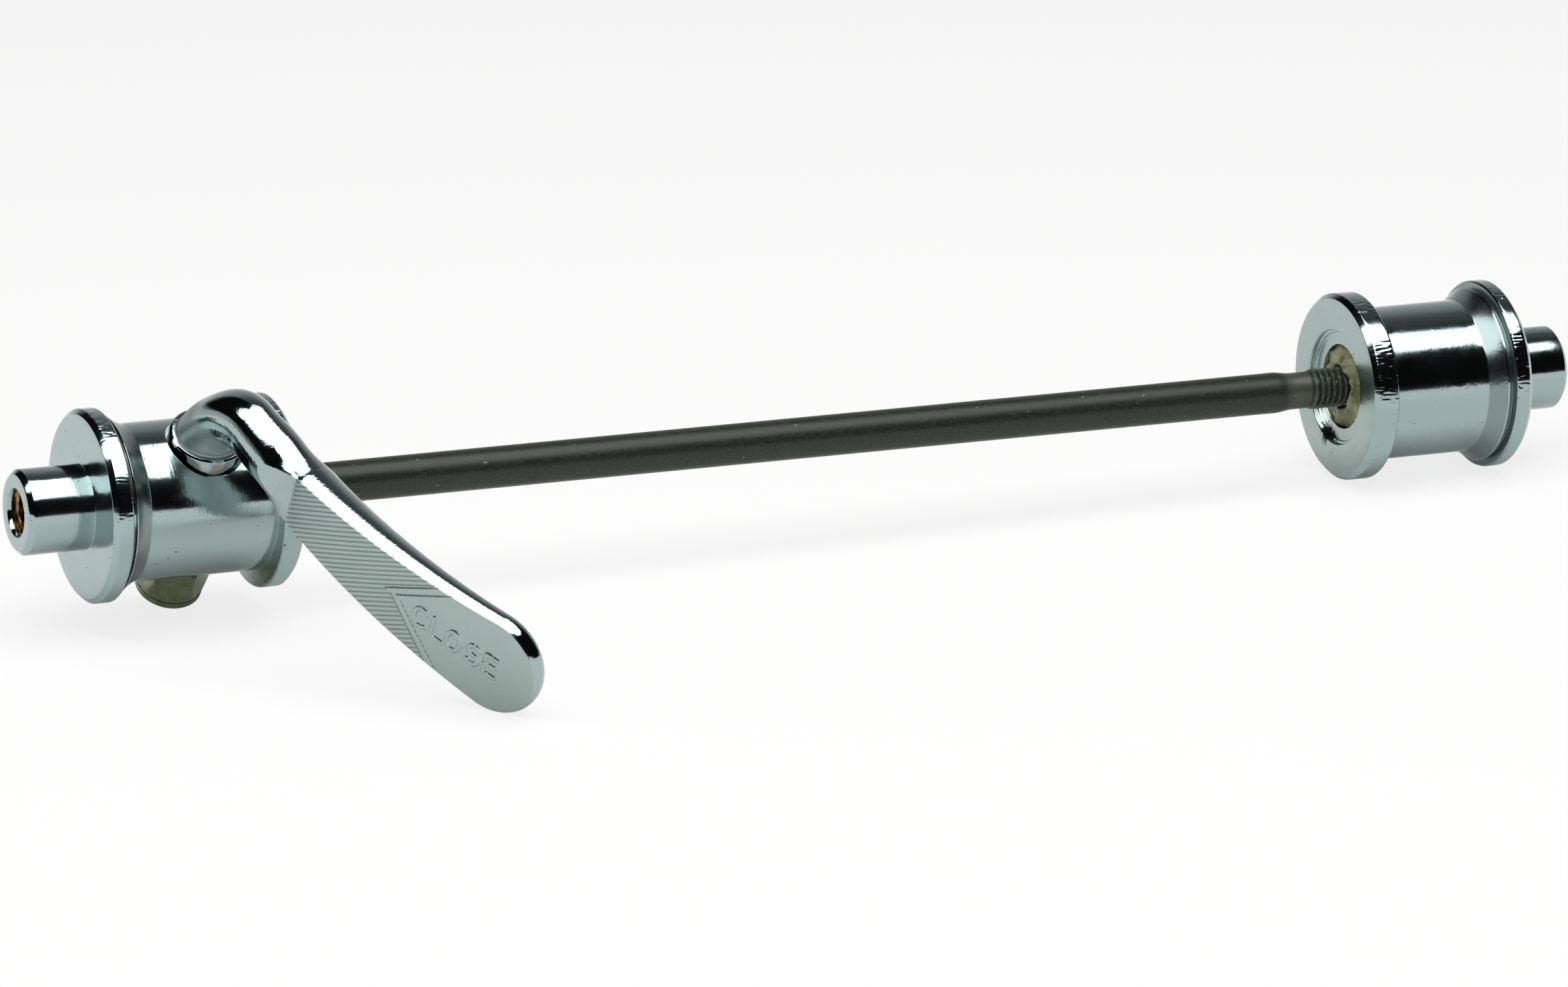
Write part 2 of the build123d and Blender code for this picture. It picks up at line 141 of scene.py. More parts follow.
def smooth(made, sharp):
    """Smooth shading, with an edge kept sharp where its faces meet at more than the angle."""
    mesh = made.data
    mesh.polygons.foreach_set("use_smooth", np.ones(len(mesh.polygons), dtype=bool))
    mesh.set_sharp_from_angle(angle=radians(sharp))
    mesh.calc_loop_triangles()
    print(made.name, "has", len(mesh.loop_triangles), "triangles")


# %% [markdown]
# Turned pieces start as an outline of corners. A real edge is never quite sharp, and the thin line of
# light on a broken edge is what makes metal look like metal, so every corner gets a small curve that
# touches both of its runs. Long runs are divided only as finely as their detail needs.

# %% Turned outlines
CORNER_POINTS = 4


def outline(corners):
    """Profile points from rows of (along, radius, corner round, step of the run that follows).

    A corner is a parabola through the ends of its round, with the corner as its control point.
    """
    corners = np.array(corners, float)
    places, rounds, steps = corners[:, :2], corners[:, 2], corners[:, 3]
    bends = np.linspace(0, 1, CORNER_POINTS)[:, None]
    points = [places[:1]]
    for index in range(1, len(places)):
        curve = places[index:index + 1]
        if rounds[index] > 0:
            back = places[index - 1] - places[index]
            ahead = places[index + 1] - places[index]
            enter = places[index] + back / np.linalg.norm(back) * rounds[index]
            leave = places[index] + ahead / np.linalg.norm(ahead) * rounds[index]
            curve = (1 - bends) ** 2 * enter + 2 * bends * (1 - bends) * places[index] + bends ** 2 * leave
        run = curve[0] - points[-1][-1]
        parts = max(int(np.ceil(np.linalg.norm(run) / steps[index - 1])), 1)
        points.append(points[-1][-1] + run * (np.arange(1, parts) / parts)[:, None])
        points.append(curve)
    return np.vstack(points)


def full_turn(columns):
    """Angles of evenly spaced columns round a full turn, without the last one, which is the first again."""
    return np.linspace(0, 2 * pi, columns, endpoint=False)


def about_rod(along, radius, angle):
    """Points round the rod: nought degrees is the front of the bench pose, a quarter turn is its top."""
    along, radius, angle = np.broadcast_arrays(along, radius, angle)
    return np.stack([along, -radius * np.cos(angle), radius * np.sin(angle)], -1)


def about_cam(level, radius, angle, centre=CAM_X):
    """Points round the cam shaft: nought degrees points along the rod."""
    level, radius, angle = np.broadcast_arrays(level, radius, angle)
    return np.stack([centre + radius * np.cos(angle), radius * np.sin(angle), level], -1)


def turned(round_axis, profile, columns, **marks):
    """Closed shell of revolution from a profile of (along, radius) that starts and ends on its axis."""
    angle = full_turn(columns)
    grid = round_axis(profile[1:-1, :1], profile[1:-1, 1:], angle)
    ends = [round_axis(end, 0, 0) for end in profile[[0, -1], 0]]
    return shell(grid, ends, **marks)


def mottle(points, size, seed, waves=24):
    """Smooth random field: cosines of about one wavelength in random directions and phases, added up."""
    random = np.random.default_rng(seed)
    directions = random.normal(size=(waves, points.shape[-1]))
    directions /= np.linalg.norm(directions, axis=1, keepdims=True)
    lengths = size * random.uniform(0.6, 1.6, (waves, 1))
    phases = random.uniform(0, 2 * pi, waves)
    return np.cos(points @ (directions * 2 * pi / lengths).T + phases).sum(-1) / sqrt(waves / 2)


def eased(value, start, end):
    """Share of the way from start to end, held at nought and one and eased at both."""
    share = np.clip((value - start) / (end - start), 0, 1)
    return share * share * (3 - 2 * share)


print("grid tools ready")

# %% [markdown]
# Materials come next. A colour is written as the hex value that it has on screen and turned into the
# linear numbers that the renderer works with. One small function adds a node, sets it and links it. A
# pattern's scale comes from the size of its grains in millimetres, because coordinates are in metres.

# %% Material tools
def linear(code):
    """sRGB hex to linear colour: each channel goes through the sRGB curve."""
    channels = np.array([int(code[place:place + 2], 16) for place in (1, 3, 5)]) / 255
    curve = np.where(channels <= 0.04045, channels / 12.92, ((channels + 0.055) / 1.055) ** 2.4)
    return (*curve.tolist(), 1.0)


def add(tree, kind, inputs=None, **settings):
    """Add a shader node with its settings, and give each input a value or a link from another node."""
    made = tree.nodes.new("ShaderNode" + kind)
    for name, value in settings.items():
        setattr(made, name, value)
    for name, value in (inputs or {}).items():
        socket = made.inputs[name] if isinstance(name, int) else next(
            one for one in made.inputs if one.enabled and one.name == name)
        if isinstance(value, bpy.types.Node):
            value = next(one for one in value.outputs if one.enabled)
        if isinstance(value, bpy.types.NodeSocket):
            tree.links.new(value, socket)
        else:
            socket.default_value = value
    return made


def per_mm(grain):
    """Noise scale whose grains are about this many millimetres across."""
    return MM / grain


def new_material(name):
    """Empty material: its node tree, and the Object coordinates that its patterns read."""
    material = bpy.data.materials.new(name)
    material.use_nodes = True
    material.node_tree.nodes.clear()
    return material, material.node_tree, add(material.node_tree, "TexCoord").outputs["Object"]


print("material tools ready")

# %% [markdown]
# Bright zinc plate over turned steel is a mirror that is a little blurred and a little blue-green. Fine
# lines left by the turning tool go round it, the plate has a faint orange-peel, tiny pits hold dirt and
# pimples sparkle in the dark reflections. The geometry draws four marks: satin where a face was left
# duller, a dark mark that is dirt and painted shade in the corners and painted shade on the flares, a
# pale smear where metal was rolled over that is a painted highlight, and patches of stronger peel.

# %% Bright zinc plate on turned steel
PLATE = linear("#A3B5B4")
SATIN_PLATE = linear("#A9B8B4")
# painted highlight: the smear's pale colour stands in for a lamp's reflection
ROLLED_HIGHLIGHT = linear("#DDE2DE")
PIT_DIRT = linear("#20231F")
RELIEF = 0.1 / MM            # height that a bump of full strength stands for
TOOL_RELIEF = 0.02 / MM
ROUND_ROD = (1, 1 / 40, 1 / 40)     # draws a pattern out into lines that go round the rod


def bright_zinc(name, peel, peel_size, tool_lines, pimples, dirt_and_shade):
    """Blurred mirror with turning lines, orange-peel, pits and pimples; its marks dull it, soil it and
    paint shade and a highlight on it.
    """
    material, tree, place = new_material(name)
    satin, smear, grime, patch = (add(tree, "Attribute", attribute_name=mark).outputs["Fac"]
                                  for mark in ("satin", "smear", "grime", "peel"))
    speck = add(tree, "TexNoise", {"Vector": place, "Scale": per_mm(0.55), "Detail": 1.0})
    pit = add(tree, "MapRange", {"Value": speck, "From Min": 0.76, "From Max": 0.785})
    colour = PLATE
    # the smear layer is a painted highlight; the dark layer is dirt and painted shade
    layers = (satin, SATIN_PLATE), (smear, ROLLED_HIGHLIGHT), (grime, linear(dirt_and_shade)), (pit, PIT_DIRT)
    for share, over in layers:
        colour = add(tree, "Mix", {"Factor": share, "A": colour, "B": over}, data_type="RGBA")
    cloud = add(tree, "TexNoise", {"Vector": place, "Scale": per_mm(3.0), "Detail": 3.0})
    gloss = add(tree, "MapRange", {"Value": cloud, "From Min": 0.3, "From Max": 0.7,
                                   "To Min": 0.07, "To Max": 0.14})
    dulled = add(tree, "Math", {0: satin, 1: 0.2, 2: gloss}, operation="MULTIPLY_ADD")
    rough = add(tree, "Math", {0: grime, 1: 0.3, 2: dulled}, operation="MULTIPLY_ADD")
    ripple = add(tree, "TexNoise", {"Vector": place, "Scale": per_mm(peel_size), "Detail": 2.0})
    stronger = add(tree, "Math", {0: patch, 1: 3.0, 2: 1.0}, operation="MULTIPLY_ADD")
    height = add(tree, "Math", {0: ripple, 1: stronger}, operation="MULTIPLY")
    pimple = add(tree, "TexNoise", {"Vector": place, "Scale": per_mm(0.28), "Detail": 0.0})
    raised = add(tree, "MapRange", {"Value": pimple, "From Min": 0.66, "From Max": 0.8})
    drawn = add(tree, "Mapping", {"Vector": place, "Scale": ROUND_ROD})
    line = add(tree, "TexNoise", {"Vector": drawn, "Scale": per_mm(0.22), "Detail": 2.0})
    peeled = add(tree, "Bump", {"Height": height, "Strength": peel, "Distance": RELIEF})
    pimpled = add(tree, "Bump", {"Height": raised, "Strength": pimples, "Distance": RELIEF,
                                 "Normal": peeled})
    lined = add(tree, "Bump", {"Height": line, "Strength": tool_lines, "Distance": TOOL_RELIEF,
                               "Normal": pimpled})
    surface = add(tree, "BsdfPrincipled", {"Base Color": colour, "Metallic": 1.0, "Roughness": rough,
                                           "Normal": lined})
    add(tree, "OutputMaterial", {"Surface": surface})
    return material


# the last colour darkens corners and flares: dirt with painted shade
housing_plate = bright_zinc("bright_zinc_turned", 0.05, 0.6, 0.3, 0.03, "#33281A")
nut_plate = bright_zinc("bright_zinc_peeled", 0.06, 0.7, 0.1, 0.03, "#23261F")
print("made", housing_plate.name, nut_plate.name)

# %% [markdown]
# The lever was forged, so its plate lies on a skin that ripples. Its flat face and the foot of its neck
# are satin, and the cut lines are darkened with painted shade. The collar under the neck is stained brown.

# %% Bright zinc plate on a forging
def forged_zinc():
    """Mirror plate with a forged ripple: satin where dull, painted shade in the cut lines, a brown stain.
    """
    material, tree, place = new_material("bright_zinc_forged")
    satin, cut, stain = (add(tree, "Attribute", attribute_name=mark).outputs["Fac"]
                         for mark in ("satin", "cut", "grime"))
    colour = linear("#A6B6B6")
    # the cut lines' dark colour is painted shade
    for share, over in ((satin, "#A9B8B5"), (cut, "#5C6864"), (stain, "#6A4526")):
        colour = add(tree, "Mix", {"Factor": share, "A": colour, "B": linear(over)}, data_type="RGBA")
    cloud = add(tree, "TexNoise", {"Vector": place, "Scale": per_mm(2.0), "Detail": 2.0})
    gloss = add(tree, "MapRange", {"Value": cloud, "From Min": 0.3, "From Max": 0.7,
                                   "To Min": 0.05, "To Max": 0.1})
    rough = add(tree, "Math", {0: satin, 1: 0.22, 2: gloss}, operation="MULTIPLY_ADD")
    ripple = add(tree, "TexNoise", {"Vector": place, "Scale": per_mm(0.35), "Detail": 2.0})
    rippled = add(tree, "Bump", {"Height": ripple, "Strength": 0.13, "Distance": RELIEF})
    surface = add(tree, "BsdfPrincipled", {"Base Color": colour, "Metallic": 1.0, "Roughness": rough,
                                           "Normal": rippled})
    add(tree, "OutputMaterial", {"Surface": surface})
    return material


lever_plate = forged_zinc()
print("made", lever_plate.name)

# %% [markdown]
# The cap nut and its washer have the same plate gone dull and olive. Cutting oil left a golden brown film
# in the tapped hole of the stub.

# %% Dull plate and an oily thread
def clouded_metal(name, cloud_size, detail, dark, light, rough):
    """Old metal, dark and light in clouds. A pair for rough is its range over the same clouds."""
    material, tree, place = new_material(name)
    cloud = add(tree, "TexNoise", {"Vector": place, "Scale": per_mm(cloud_size), "Detail": detail})
    share = add(tree, "MapRange", {"Value": cloud, "From Min": 0.35, "From Max": 0.65})
    colour = add(tree, "Mix", {"Factor": share, "A": linear(dark), "B": linear(light)}, data_type="RGBA")
    if isinstance(rough, tuple):
        rough = add(tree, "MapRange", {"Value": share, "To Min": rough[0], "To Max": rough[1]})
    surface = add(tree, "BsdfPrincipled", {"Base Color": colour, "Metallic": 1.0, "Roughness": rough})
    add(tree, "OutputMaterial", {"Surface": surface})
    return material


dull_plate = clouded_metal("dull_zinc", 1.6, 3.0, "#868B6E", "#9A9F82", (0.2, 0.28))
thread_film = clouded_metal("oily_cut_steel", 1.2, 2.0, "#6B5230", "#A98F5E", 0.3)
print("made", dull_plate.name, thread_film.name)

# %% [markdown]
# The rod is steel with a dark oiled phosphate coat. It shows the lamp as a soft grey band and is nearly
# black below, with a fine speckle from its crystals. It is paler with wear on the neck, and its thread
# crests are painted paler as a highlight.

# %% Phosphated steel
def phosphated_steel():
    """Dark phosphate: grains of a few tenths of a mm, soft sheen, wear, a painted highlight on crests, pale
    marks.
    """
    material, tree, place = new_material("phosphated_steel")
    worn = add(tree, "Attribute", attribute_name="worn").outputs["Fac"]
    crystal = add(tree, "TexNoise", {"Vector": place, "Scale": per_mm(0.35), "Detail": 3.0})
    grain = add(tree, "MapRange", {"Value": crystal, "From Min": 0.3, "From Max": 0.7})
    along = add(tree, "Mapping", {"Vector": place, "Scale": (1 / 2, 1, 1)})
    mark = add(tree, "TexNoise", {"Vector": along, "Scale": per_mm(0.5), "Detail": 1.0})
    scratch = add(tree, "MapRange", {"Value": mark, "From Min": 0.77, "From Max": 0.81})
    colour = linear("#252A24")
    # the pale wear colour also serves as a painted highlight on the thread's crests
    for share, over in ((grain, "#343932"), (worn, "#5E625A"), (scratch, "#9A9C94")):
        colour = add(tree, "Mix", {"Factor": share, "A": colour, "B": linear(over)}, data_type="RGBA")
    rough = add(tree, "MapRange", {"Value": grain, "To Min": 0.3, "To Max": 0.4})
    bumped = add(tree, "Bump", {"Height": grain, "Strength": 0.12, "Distance": RELIEF / 2})
    surface = add(tree, "BsdfPrincipled", {
        "Base Color": colour, "Metallic": 0.3, "Roughness": rough, "Normal": bumped,
        "Specular Tint": (0.9, 1, 0.9, 1)})
    add(tree, "OutputMaterial", {"Surface": surface})
    return material


rod_steel = phosphated_steel()
print("made", rod_steel.name)

# %% [markdown]
# The lock ring is nylon that was white once and is now olive and straw. A little light goes into it and
# comes out again nearby, so it gets a share of scattering under its skin and not only a paler colour.

# %% Nylon
def old_nylon():
    """Yellowed nylon: cloudy olive to straw, waxy, with light scattered under its skin, painted shade at
    the inner edge.
    """
    material, tree, place = new_material("yellowed_nylon")
    torn_edge_shade = add(tree, "Attribute", attribute_name="grime").outputs["Fac"]
    cloud = add(tree, "TexNoise", {"Vector": place, "Scale": per_mm(3.0), "Detail": 3.0})
    faded = add(tree, "MapRange", {"Value": cloud, "From Min": 0.42, "From Max": 0.66})
    colour = linear("#5E6038")
    # the dark colour at the inner edge is painted shade
    for share, over in ((faded, "#A5A982"), (torn_edge_shade, "#2A2418")):
        colour = add(tree, "Mix", {"Factor": share, "A": colour, "B": linear(over)}, data_type="RGBA")
    tear = add(tree, "TexNoise", {"Vector": place, "Scale": per_mm(0.5), "Detail": 3.0})
    bumped = add(tree, "Bump", {"Height": tear, "Strength": 0.4, "Distance": RELIEF})
    surface = add(tree, "BsdfPrincipled", {
        "Base Color": colour, "Roughness": 0.36, "Normal": bumped, "Subsurface Weight": 0.25,
        "Subsurface Radius": (0.8, 0.7, 0.3), "Subsurface Scale": 1 / MM})
    add(tree, "OutputMaterial", {"Surface": surface})
    return material


nylon = old_nylon()
print("made", nylon.name)

# %% [markdown]
# Both spools were turned to the same outline: a thick flange with a bevelled rim, a plain waist, a second
# flange that the waist flares up to, and a stub. The rims carry chatter, short ridges across the rim
# where the tool shook. They are moved points of the surface, so they catch light from any side.

# %% The spools' shared outline
WAIST_RADIUS = 9.4
STUB_RADIUS = 5.125
EDGE = 0.6                   # bevel on the rims and the stub's end
RIM_BREAK = 0.2
FLARE_LENGTH = 2.9
FLARE_RISE = 1.4
FLARE_HOLLOW = 0.14
FLARE_ROUNDS = [0.12, 0.2]   # at its start on the waist and at its crest
GROOVE_WIDTH = 0.6           # turned beside the outer flange
GROOVE_DEPTH = 0.5
BREAK = 0.07                 # small curve on a turned edge
STUB_ROUND = 0.15
SPOOL_COLUMNS = 640
RIM_STEP = 0.3
CHATTER_DEPTH = 0.028


def spool_side(inner_flange, waist, outer_flange, length):
    """Corners of a spool's outside, from its clamp face at nought to its stub's end."""
    waist_end = inner_flange + waist
    flare_start = waist_end - FLARE_LENGTH
    flange_end = waist_end + outer_flange
    share = np.linspace(0, 1, 9)
    rise = FLARE_RISE * share - 4 * FLARE_HOLLOW * share * (1 - share)
    reach = flare_start + (FLARE_LENGTH - GROOVE_WIDTH) * share
    rounds = np.select([share == 0, share == 1], FLARE_ROUNDS, 0.0)
    flare = np.stack([reach, WAIST_RADIUS + rise, rounds, 1 + 0 * share], -1)
    groove_floor = WAIST_RADIUS + FLARE_RISE - GROOVE_DEPTH
    return [
        (0, FLANGE_RADIUS - EDGE, BREAK, 1),
        (EDGE, FLANGE_RADIUS, BREAK, RIM_STEP),
        (inner_flange - RIM_BREAK, FLANGE_RADIUS, BREAK, 1),
        (inner_flange, FLANGE_RADIUS - RIM_BREAK, BREAK, 1),
        (inner_flange, WAIST_RADIUS, BREAK, 1.2),
        *flare,
        (waist_end - GROOVE_WIDTH, groove_floor, BREAK, 1),
        (waist_end, groove_floor, BREAK, 1),
        (waist_end, FLANGE_RADIUS - RIM_BREAK, BREAK, 1),
        (waist_end + RIM_BREAK, FLANGE_RADIUS, BREAK, RIM_STEP),
        (flange_end - EDGE, FLANGE_RADIUS, BREAK, 1),
        (flange_end, FLANGE_RADIUS - EDGE, BREAK, 2),
        (flange_end, STUB_RADIUS, BREAK, 1.5),
        (length - EDGE, STUB_RADIUS, BREAK, 1),
        (length, STUB_RADIUS - EDGE, STUB_ROUND, 1),
    ]


def chattered(grid, seed):
    """Press short ridges into the rims: noise drawn out across the rim and fine round it, in patches."""
    radius = np.hypot(grid[..., 1], grid[..., 2])
    around = grid[..., 1:] / np.maximum(radius, 1e-6)[..., None] * FLANGE_RADIUS
    fine = mottle(np.concatenate([around / 0.3, grid[..., :1] / 1.6], -1), 1.0, seed, 40)
    patches = eased(mottle(around, 9.0, seed + 1), -1.2, 0.4)
    on_rim = eased(radius, FLANGE_RADIUS - 0.12, FLANGE_RADIUS - 0.02)
    depth = CHATTER_DEPTH * on_rim * patches * np.clip(fine, 0, 2)
    inward = 1 - depth / np.maximum(radius, 1e-6)
    return grid * np.stack([np.ones_like(radius), inward, inward], -1)


def spool_grid(profile, seed):
    """Surface of revolution of a spool's profile, without its two end points, with chattered rims."""
    angle = full_turn(SPOOL_COLUMNS)
    return chattered(about_rod(profile[1:-1, :1], profile[1:-1, 1:], angle), seed)


def on_faces(grid):
    """One where the surface looks along the rod, nought where it looks away from it, by its two slopes."""
    radius = np.hypot(grid[..., 1], grid[..., 2])
    rise = np.abs(np.gradient(radius, axis=0))
    run = np.abs(np.gradient(grid[..., 0], axis=0))
    return eased(rise / (rise + run + 1e-9), 0.75, 0.95)


print("spool tools ready")

# %% [markdown]
# The cam housing is the spool at the lever end. Its bore for the rod's eye opens at the clamp face, and
# a tapped hole enters its stub. One turned cutter, taken away with a Boolean, makes the cross hole: the
# wide mouth round the lever's collar, the bearing, and the spot face for the washer below.

# %% Cam housing
HOUSING_INNER_FLANGE = 2.7
HOUSING_WAIST = 18.9
HOUSING_OUTER_FLANGE = 2.5
HOUSING_LENGTH = -HOUSING_LOW[0]
EYE_BORE_RADIUS = 5.5
EYE_BORE_DEPTH = 16.6
TAPPED_DEPTH = 10.0
LINING_RADIUS = 2.7          # wall that the tapped hole's thread is set into
SINK_RADIUS = 2.95
SINK_DEPTH = 0.5

housing_profile = outline([
    (EYE_BORE_DEPTH, 0, 0, 6),
    (EYE_BORE_DEPTH, EYE_BORE_RADIUS, BREAK, 6),
    (0, EYE_BORE_RADIUS, 0.25, 2),
    *spool_side(HOUSING_INNER_FLANGE, HOUSING_WAIST, HOUSING_OUTER_FLANGE, HOUSING_LENGTH),
    (HOUSING_LENGTH, SINK_RADIUS, BREAK, 1),
    (HOUSING_LENGTH - SINK_DEPTH, LINING_RADIUS, 0, 6),
    (HOUSING_LENGTH - TAPPED_DEPTH, LINING_RADIUS, 0, 6),
    (HOUSING_LENGTH - TAPPED_DEPTH, 0, 0, 6),
]) * [-1, 1]
housing_grid = spool_grid(housing_profile, 11)
flare_root = -(HOUSING_INNER_FLANGE + HOUSING_WAIST)
from_flange = housing_grid[..., 0] - flare_root
# dirt with painted shade: dark in the groove's corner beside the outer flange
in_corner = eased(from_flange, GROOVE_WIDTH + 0.05, GROOVE_WIDTH - 0.1) * eased(from_flange, -0.1, 0.0)
in_corner *= eased(np.hypot(housing_grid[..., 1], housing_grid[..., 2]), 11.2, 10.8)
# painted shade: the whole flare is darkened a little
on_flare = eased(from_flange, FLARE_LENGTH, FLARE_LENGTH - 0.1)
on_flare *= eased(from_flange, GROOVE_WIDTH, GROOVE_WIDTH + 0.3)
housing_marks = {
    "satin": on_faces(housing_grid) * np.where(housing_grid[..., 0] < -20, 0.25, 0.8),
    "grime": np.maximum(in_corner * eased(mottle(housing_grid, 4.0, 5), -1.6, 0.2), 0.4 * on_flare),
}
housing_ends = housing_profile[[0, -1], :1] * [[1, 0, 0]]
housing_shell = shell(housing_grid, list(housing_ends), **housing_marks)
housing_spool = piece("housing_spool", [housing_shell], housing_plate)

# %% Cross hole
JOURNAL_RADIUS = 4.6
COLLAR_TOP = 10.3
MOUTH_RADIUS = JOURNAL_RADIUS + 0.35
MOUTH_FLOOR = 8.1
SPOT_FACE_RADIUS = 5.2
SPOT_FACE_LEVEL = -8.5
TAIL_RADIUS = 2.9
RUNNING_GAP = 0.05
CUTTER_REACH = 2 * FLANGE_RADIUS


def cut_away(target, cutter):
    """Take the cutter's volume out of the target, and keep the result as the target's own mesh."""
    step = target.modifiers.new("cut", "BOOLEAN")
    step.object = cutter
    step.operation = "DIFFERENCE"
    step.solver = "EXACT"
    bpy.context.view_layer.update()
    whole = target.evaluated_get(bpy.context.evaluated_depsgraph_get())
    mesh = bpy.data.meshes.new_from_object(whole)
    target.modifiers.clear()
    target.data = mesh
    bpy.data.objects.remove(cutter)
    smooth(target, 40)


cross_hole = outline([
    (CUTTER_REACH, 0, 0, 9),
    (CUTTER_REACH, MOUTH_RADIUS, 0, 99),
    (MOUTH_FLOOR, MOUTH_RADIUS, 0, 9),
    (MOUTH_FLOOR, JOURNAL_RADIUS + RUNNING_GAP, 0, 9),
    (0, JOURNAL_RADIUS + RUNNING_GAP, 0, 9),
    (0, TAIL_RADIUS + RUNNING_GAP, 0, 9),
    (SPOT_FACE_LEVEL, TAIL_RADIUS + RUNNING_GAP, 0, 9),
    (SPOT_FACE_LEVEL, SPOT_FACE_RADIUS, 0, 9),
    (-CUTTER_REACH, SPOT_FACE_RADIUS, 0, 9),
    (-CUTTER_REACH, 0, 0, 9),
])
cut_away(housing_spool, piece("cross_hole", [turned(about_cam, cross_hole, 180)], housing_plate))
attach(housing_spool, "housing")
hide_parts("cam_housing")

# %% [markdown]
# A thread is a surface of revolution whose radius depends on a helix: one turn of angle counts as one
# pitch of length. The same formula makes the tapped hole in the stub and, further on, the rod's thread.

# %% Thread in the stub
PITCH = 0.8
TAPPED_RADIUS = 2.1
THREAD_DEPTH = 0.42
MOUTH_FLARE = 0.4            # how far the first thread opens out


def thread_height(along, angle):
    """Share of the thread's height: a trapezium wave of along less angle, with flat crest and root."""
    phase = (along / PITCH - angle / (2 * pi)) % 1.0
    return np.clip(1.9 - 5.2 * np.abs(phase - 0.5), 0, 1)


lining_mouth = -HOUSING_LENGTH + 0.45
lining_end = -HOUSING_LENGTH + TAPPED_DEPTH - 0.05
lining_along = np.linspace(lining_mouth, lining_end, 110)[:, None]
lining_angle = full_turn(96)
lining_wall = TAPPED_RADIUS + THREAD_DEPTH * (1 - thread_height(lining_along, lining_angle))
lining_wall = lining_wall + MOUTH_FLARE * eased(lining_along, lining_mouth + PITCH, lining_mouth)
lining_wall = np.minimum(lining_wall, LINING_RADIUS - 0.02)
lining_inside = about_rod(lining_along, lining_wall, lining_angle)
lining_outside = about_rod(np.array([[lining_end], [lining_mouth]]), LINING_RADIUS, lining_angle)
lining_shell = shell(np.concatenate([lining_inside, lining_outside]))
stub_thread = piece("stub_hole_thread", [lining_shell], thread_film)
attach(stub_thread, "housing")
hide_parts("cam_housing")

# %% [markdown]
# The lever's path is a quarter bend out of the cam shaft and then a gentle arc. Its section starts as a
# circle, becomes an oval neck, and ends as a paddle with a flat outer face. Both kinds of section use the
# same columns, so a section in between is a mixture of the two.

# %% The lever's sections
HUB_RADIUS = 3.85
BEND_RADIUS = 7.8
BEND_FLATTENING = 0.75
ARM_ANGLE = radians(77)
ARM_LENGTH = 49.1
ARM_TURN = radians(26.3) / ARM_LENGTH
NECK_OUTBOARD = 3.25
NECK_INBOARD = 3.1           # at the end of the bend
NECK_GROWTH = 0.5            # more of it on the inboard side, over the arm's first 4 mm
NECK_HALF = 3.9
NECK_WAISTING = 0.2
RAMP_START = 4.6
PADDLE_START = 10.8
PADDLE_DROP = 0.5
PADDLE_ROOT_HALF = 3.95
PADDLE_ROOT_INBOARD = 3.8
PADDLE_THINNING = 2.3        # that its back loses on the way to the tip
BACK_ROUND = 1.35
BACK_CROWN = 0.5
FACE_LEVEL = 2.2             # flat face, outboard of the centre line
TIP_RADIUS = 6.6
TIP_START = ARM_LENGTH - TIP_RADIUS
FACE_COLUMNS = 116
SIDE_COLUMNS = 16
BACK_COLUMNS = 24

face_share = np.linspace(-1, 1, FACE_COLUMNS)
back_share = np.linspace(1, -1, BACK_COLUMNS)
side_share = np.linspace(0, 1, SIDE_COLUMNS + 2)[1:-1]


def oval_section(outboard, inboard, half):
    """Oval as (inboard, up): an ellipse with one half axis outboard and another inboard.

    The face columns take the sixth of it that looks outboard, and the back columns the sixth opposite.
    """
    side = pi / 6 + side_share * 2 * pi / 3
    angle = np.concatenate([face_share * pi / 6, side, pi - back_share * pi / 6, pi + side])
    inward = -np.cos(angle) * np.where(np.cos(angle) > 0, outboard, inboard)
    return np.stack([inward, np.sin(angle) * half], -1)


def arc_through(start, middle, end, share):
    """Points at a share along the circle through three points, from its centre and the angles it sees."""
    (ax, ay), (bx, by), (cx, cy) = start, middle, end
    twice = 2 * (ax * (by - cy) + bx * (cy - ay) + cx * (ay - by))
    a2, b2, c2 = ax ** 2 + ay ** 2, bx ** 2 + by ** 2, cx ** 2 + cy ** 2
    ox = (a2 * (by - cy) + b2 * (cy - ay) + c2 * (ay - by)) / twice
    oy = (a2 * (cx - bx) + b2 * (ax - cx) + c2 * (bx - ax)) / twice
    first = np.arctan2(ay - oy, ax - ox)
    sweep = (np.arctan2(cy - oy, cx - ox) - first + pi) % (2 * pi) - pi
    angle = first + sweep * share
    radius = np.hypot(ax - ox, ay - oy)
    return np.stack([ox + radius * np.cos(angle), oy + radius * np.sin(angle)], -1)


def paddle_section(along):
    """Paddle as (inboard, up): flat face, sides on an arc and crowned back, for a column of lengths."""
    share = np.clip((along - PADDLE_START) / (TIP_START - PADDLE_START), 0, 1)
    half = PADDLE_ROOT_HALF + (TIP_RADIUS - PADDLE_ROOT_HALF) * share
    inboard = PADDLE_ROOT_INBOARD - PADDLE_THINNING * share
    half_face = half - 0.4 + 0.2 * share
    half_back = half - BACK_ROUND
    face = np.stack(np.broadcast_arrays(-FACE_LEVEL, half_face * face_share), -1)
    side = arc_through((-FACE_LEVEL + 0 * half, half_face), ((inboard - FACE_LEVEL) / 2, half),
                       (inboard - BACK_CROWN, half_back), side_share)
    back = np.stack([inboard - BACK_CROWN * back_share ** 2, half_back * back_share], -1)
    return np.concatenate([face, side, back, side[:, ::-1] * [1, -1]], 1)


print("lever columns", len(oval_section(1, 1, 1)))

# %% [markdown]
# The flat face was pressed in a die: slanting serrations for the thumb, a double chevron, and raised
# letters that say which way is shut. All of it is one height field over the distance along the lever and
# the height across it. Letters are strokes, and a stroke is the distance to a line of short segments.

